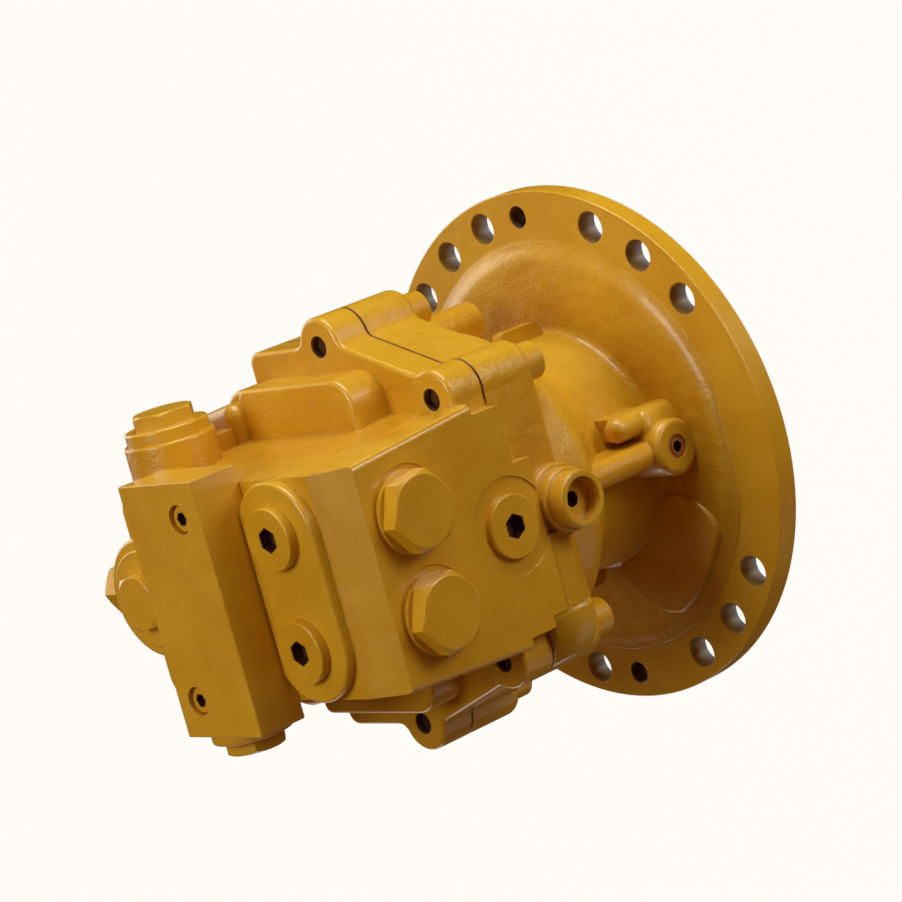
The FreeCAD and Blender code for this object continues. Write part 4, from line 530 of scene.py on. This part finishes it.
# The flat pad of the casing runs on to the lower ear in one long arc
earSlope = {"inner": ((100.5, -84.0), (98.0, -61.5)), "start": (115.49, -61.5), "centre": (78.59, -66.0),
            "radius": 36.9, "sweep": -50.0, "steps": 10, "lowZ": 140.0, "highZ": 173.6, "rounding": 8.0}
# The short rib and the boss of the small plug grow together where they meet the flange disc
ribFoot = {"outline": ((76.0, -4.0), (101.0, -4.0), (101.0, 17.0), (95.5, 27.6), (76.0, 27.6)),
           "lowZ": 12.0, "highZ": 47.0, "rounding": 5.5}
earTurns = [polar(earSlope["radius"], earSlope["sweep"] * step / earSlope["steps"])
            for step in range(earSlope["steps"] + 1)]
earArc = [(earSlope["centre"][0] + x, earSlope["centre"][1] + y) for x, y in earTurns]
addCasting("earSlope", [earSlope["start"], *earArc, *earSlope["inner"]], earSlope["lowZ"], earSlope["highZ"],
           earSlope["rounding"], "facePaint", True)
addCasting("ribFoot", ribFoot["outline"], ribFoot["lowZ"], ribFoot["highZ"], ribFoot["rounding"],
           "casingPaint")
print("cast blends ready")


# Smooth-shaded copies of the springs of the sliding joints take the place of their CAD parts, which are hidden
def addMovingSprings():
    sharpAngle = 0.9
    for joint in frame["joints"]:
        if joint["type"] != "slide":
            continue
        for entry in joint["deforming_nodes"]:
            node = entry["node"]
            axis = "xyz".index(entry["mode"][-1])
            low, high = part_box(node)
            start = (low + high) / 2
            end = start.copy()
            fixed = entry["fixed_end_z_m"]
            start[axis], end[axis] = low[axis], high[axis]
            if abs(high[axis] - fixed) < abs(low[axis] - fixed):
                start, end = end, start
            mesh = bmesh.new()
            mesh.from_mesh(nodes[node].data)
            bmesh.ops.remove_doubles(mesh, verts=mesh.verts, dist=1e-6)
            bmesh.ops.recalc_face_normals(mesh, faces=mesh.faces)
            for face in mesh.faces:
                face.smooth = True
            for edge in mesh.edges:
                if len(edge.link_faces) == 2 and edge.calc_face_angle() > sharpAngle:
                    edge.smooth = False
            words = node.split("_")
            name = words[0] + "".join(word.capitalize() for word in words[1:])
            data = bpy.data.meshes.new(name)
            mesh.to_mesh(data)
            mesh.free()
            data.materials.append(nodes[node].data.materials[0])
            spring = bpy.data.objects.new(name, data)
            bpy.context.scene.collection.objects.link(spring)
            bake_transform(spring)
            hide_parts(node)


addMovingSprings()
print("springs ready")


def addCamera():
    view = {
        "place": (1.69548, 0.37940, 1.54556), "right": (0.65228, -0.26047, -0.71182),
        "up": (0.05479, 0.95285, -0.29846), "back": (0.75599, 0.15568, 0.63580),
        "lens": 143.66, "sensor": 36.0, "reach": 50.0,
    }
    camera = bpy.data.objects.new("photoCamera", bpy.data.cameras.new("photoCamera"))
    bpy.context.scene.collection.objects.link(camera)
    turn = Matrix((view["right"], view["up"], view["back"])).transposed()
    camera.matrix_world = Matrix.Translation(view["place"]) @ turn.to_4x4()
    camera.data.lens = view["lens"]
    camera.data.sensor_width = view["sensor"]
    camera.data.clip_end = view["reach"]
    bpy.context.scene.camera = camera


# Area lights turned to the middle of the motor: name, place, size, power and colour
softboxes = (
    ("topSoftbox", (0.20, 1.50, 0.15), (1.2, 0.9), 18.0, (0.97, 1.0, 0.95)),
    ("frontSoftbox", (0.05, 0.50, 1.85), (0.8, 0.8), 13.0, (1.0, 0.97, 0.9)),
    ("sideSoftbox", (1.55, 0.85, -0.60), (0.8, 0.8), 11.0, (1.0, 0.96, 0.9)),
    ("lowSoftbox", (1.00, -1.30, -0.70), (1.0, 1.0), 1.5, (1.0, 0.90, 0.72)),
    ("underFill", (-0.90, -1.60, -0.15), (1.4, 1.0), 6.0, (1.0, 0.97, 0.93)),
    ("backSoftbox", (-1.60, 0.50, 0.40), (1.2, 1.2), 9.0, (1.0, 0.98, 0.95)),
)
# Warm dim light from all round, and a pale surround that only the camera sees
studio = {
    "middle": (0.0, 0.0, 0.15), "worldColour": (1.0, 0.45, 0.13), "worldStrength": 0.10,
    "floorZ": -2.2, "floorHalf": 9.0, "domeRadius": 12.0, "domeSteps": 4,
    "surroundBase": (0.02, 0.02, 0.02), "surroundColour": (1.0, 0.973, 0.930), "surroundStrength": 0.995,
}


def addStudio():
    for name, place, size, power, colour in softboxes:
        lamp = bpy.data.lights.new(name, "AREA")
        lamp.shape = "RECTANGLE"
        lamp.size, lamp.size_y = size
        lamp.energy = power
        lamp.color = colour
        light = bpy.data.objects.new(name, lamp)
        bpy.context.scene.collection.objects.link(light)
        light.location = place
        light.rotation_mode = "QUATERNION"
        light.rotation_quaternion = (Vector(studio["middle"]) - Vector(place)).to_track_quat("-Z", "Y")
        light.visible_camera = False
    world = bpy.data.worlds.new("studio")
    bpy.context.scene.world = world
    world.use_nodes = True
    background = world.node_tree.nodes["Background"]
    background.inputs["Color"].default_value = (*studio["worldColour"], 1.0)
    background.inputs["Strength"].default_value = studio["worldStrength"]


def addSurround():
    material, tree, shader = newMaterial("paleSurround")
    shader.inputs["Base Color"].default_value = (*studio["surroundBase"], 1.0)
    shader.inputs["Roughness"].default_value = 1.0
    shader.inputs["Specular IOR Level"].default_value = 0.0
    shader.inputs["Emission Color"].default_value = (*studio["surroundColour"], 1.0)
    shader.inputs["Emission Strength"].default_value = studio["surroundStrength"]
    for name in ("studioFloor", "studioDome"):
        mesh = bmesh.new()
        if name == "studioFloor":
            bmesh.ops.create_grid(mesh, x_segments=1, y_segments=1, size=studio["floorHalf"])
            bmesh.ops.translate(mesh, verts=mesh.verts, vec=(0.0, 0.0, studio["floorZ"]))
        else:
            bmesh.ops.create_icosphere(mesh, subdivisions=studio["domeSteps"], radius=studio["domeRadius"])
        data = bpy.data.meshes.new(name)
        mesh.to_mesh(data)
        mesh.free()
        surround = bpy.data.objects.new(name, data)
        bpy.context.scene.collection.objects.link(surround)
        data.materials.append(material)
        surround.visible_diffuse = False
        surround.visible_glossy = False
        surround.visible_shadow = False


addCamera()
addStudio()
addSurround()
bpy.context.scene.view_settings.view_transform = "Standard"
print("studio ready")
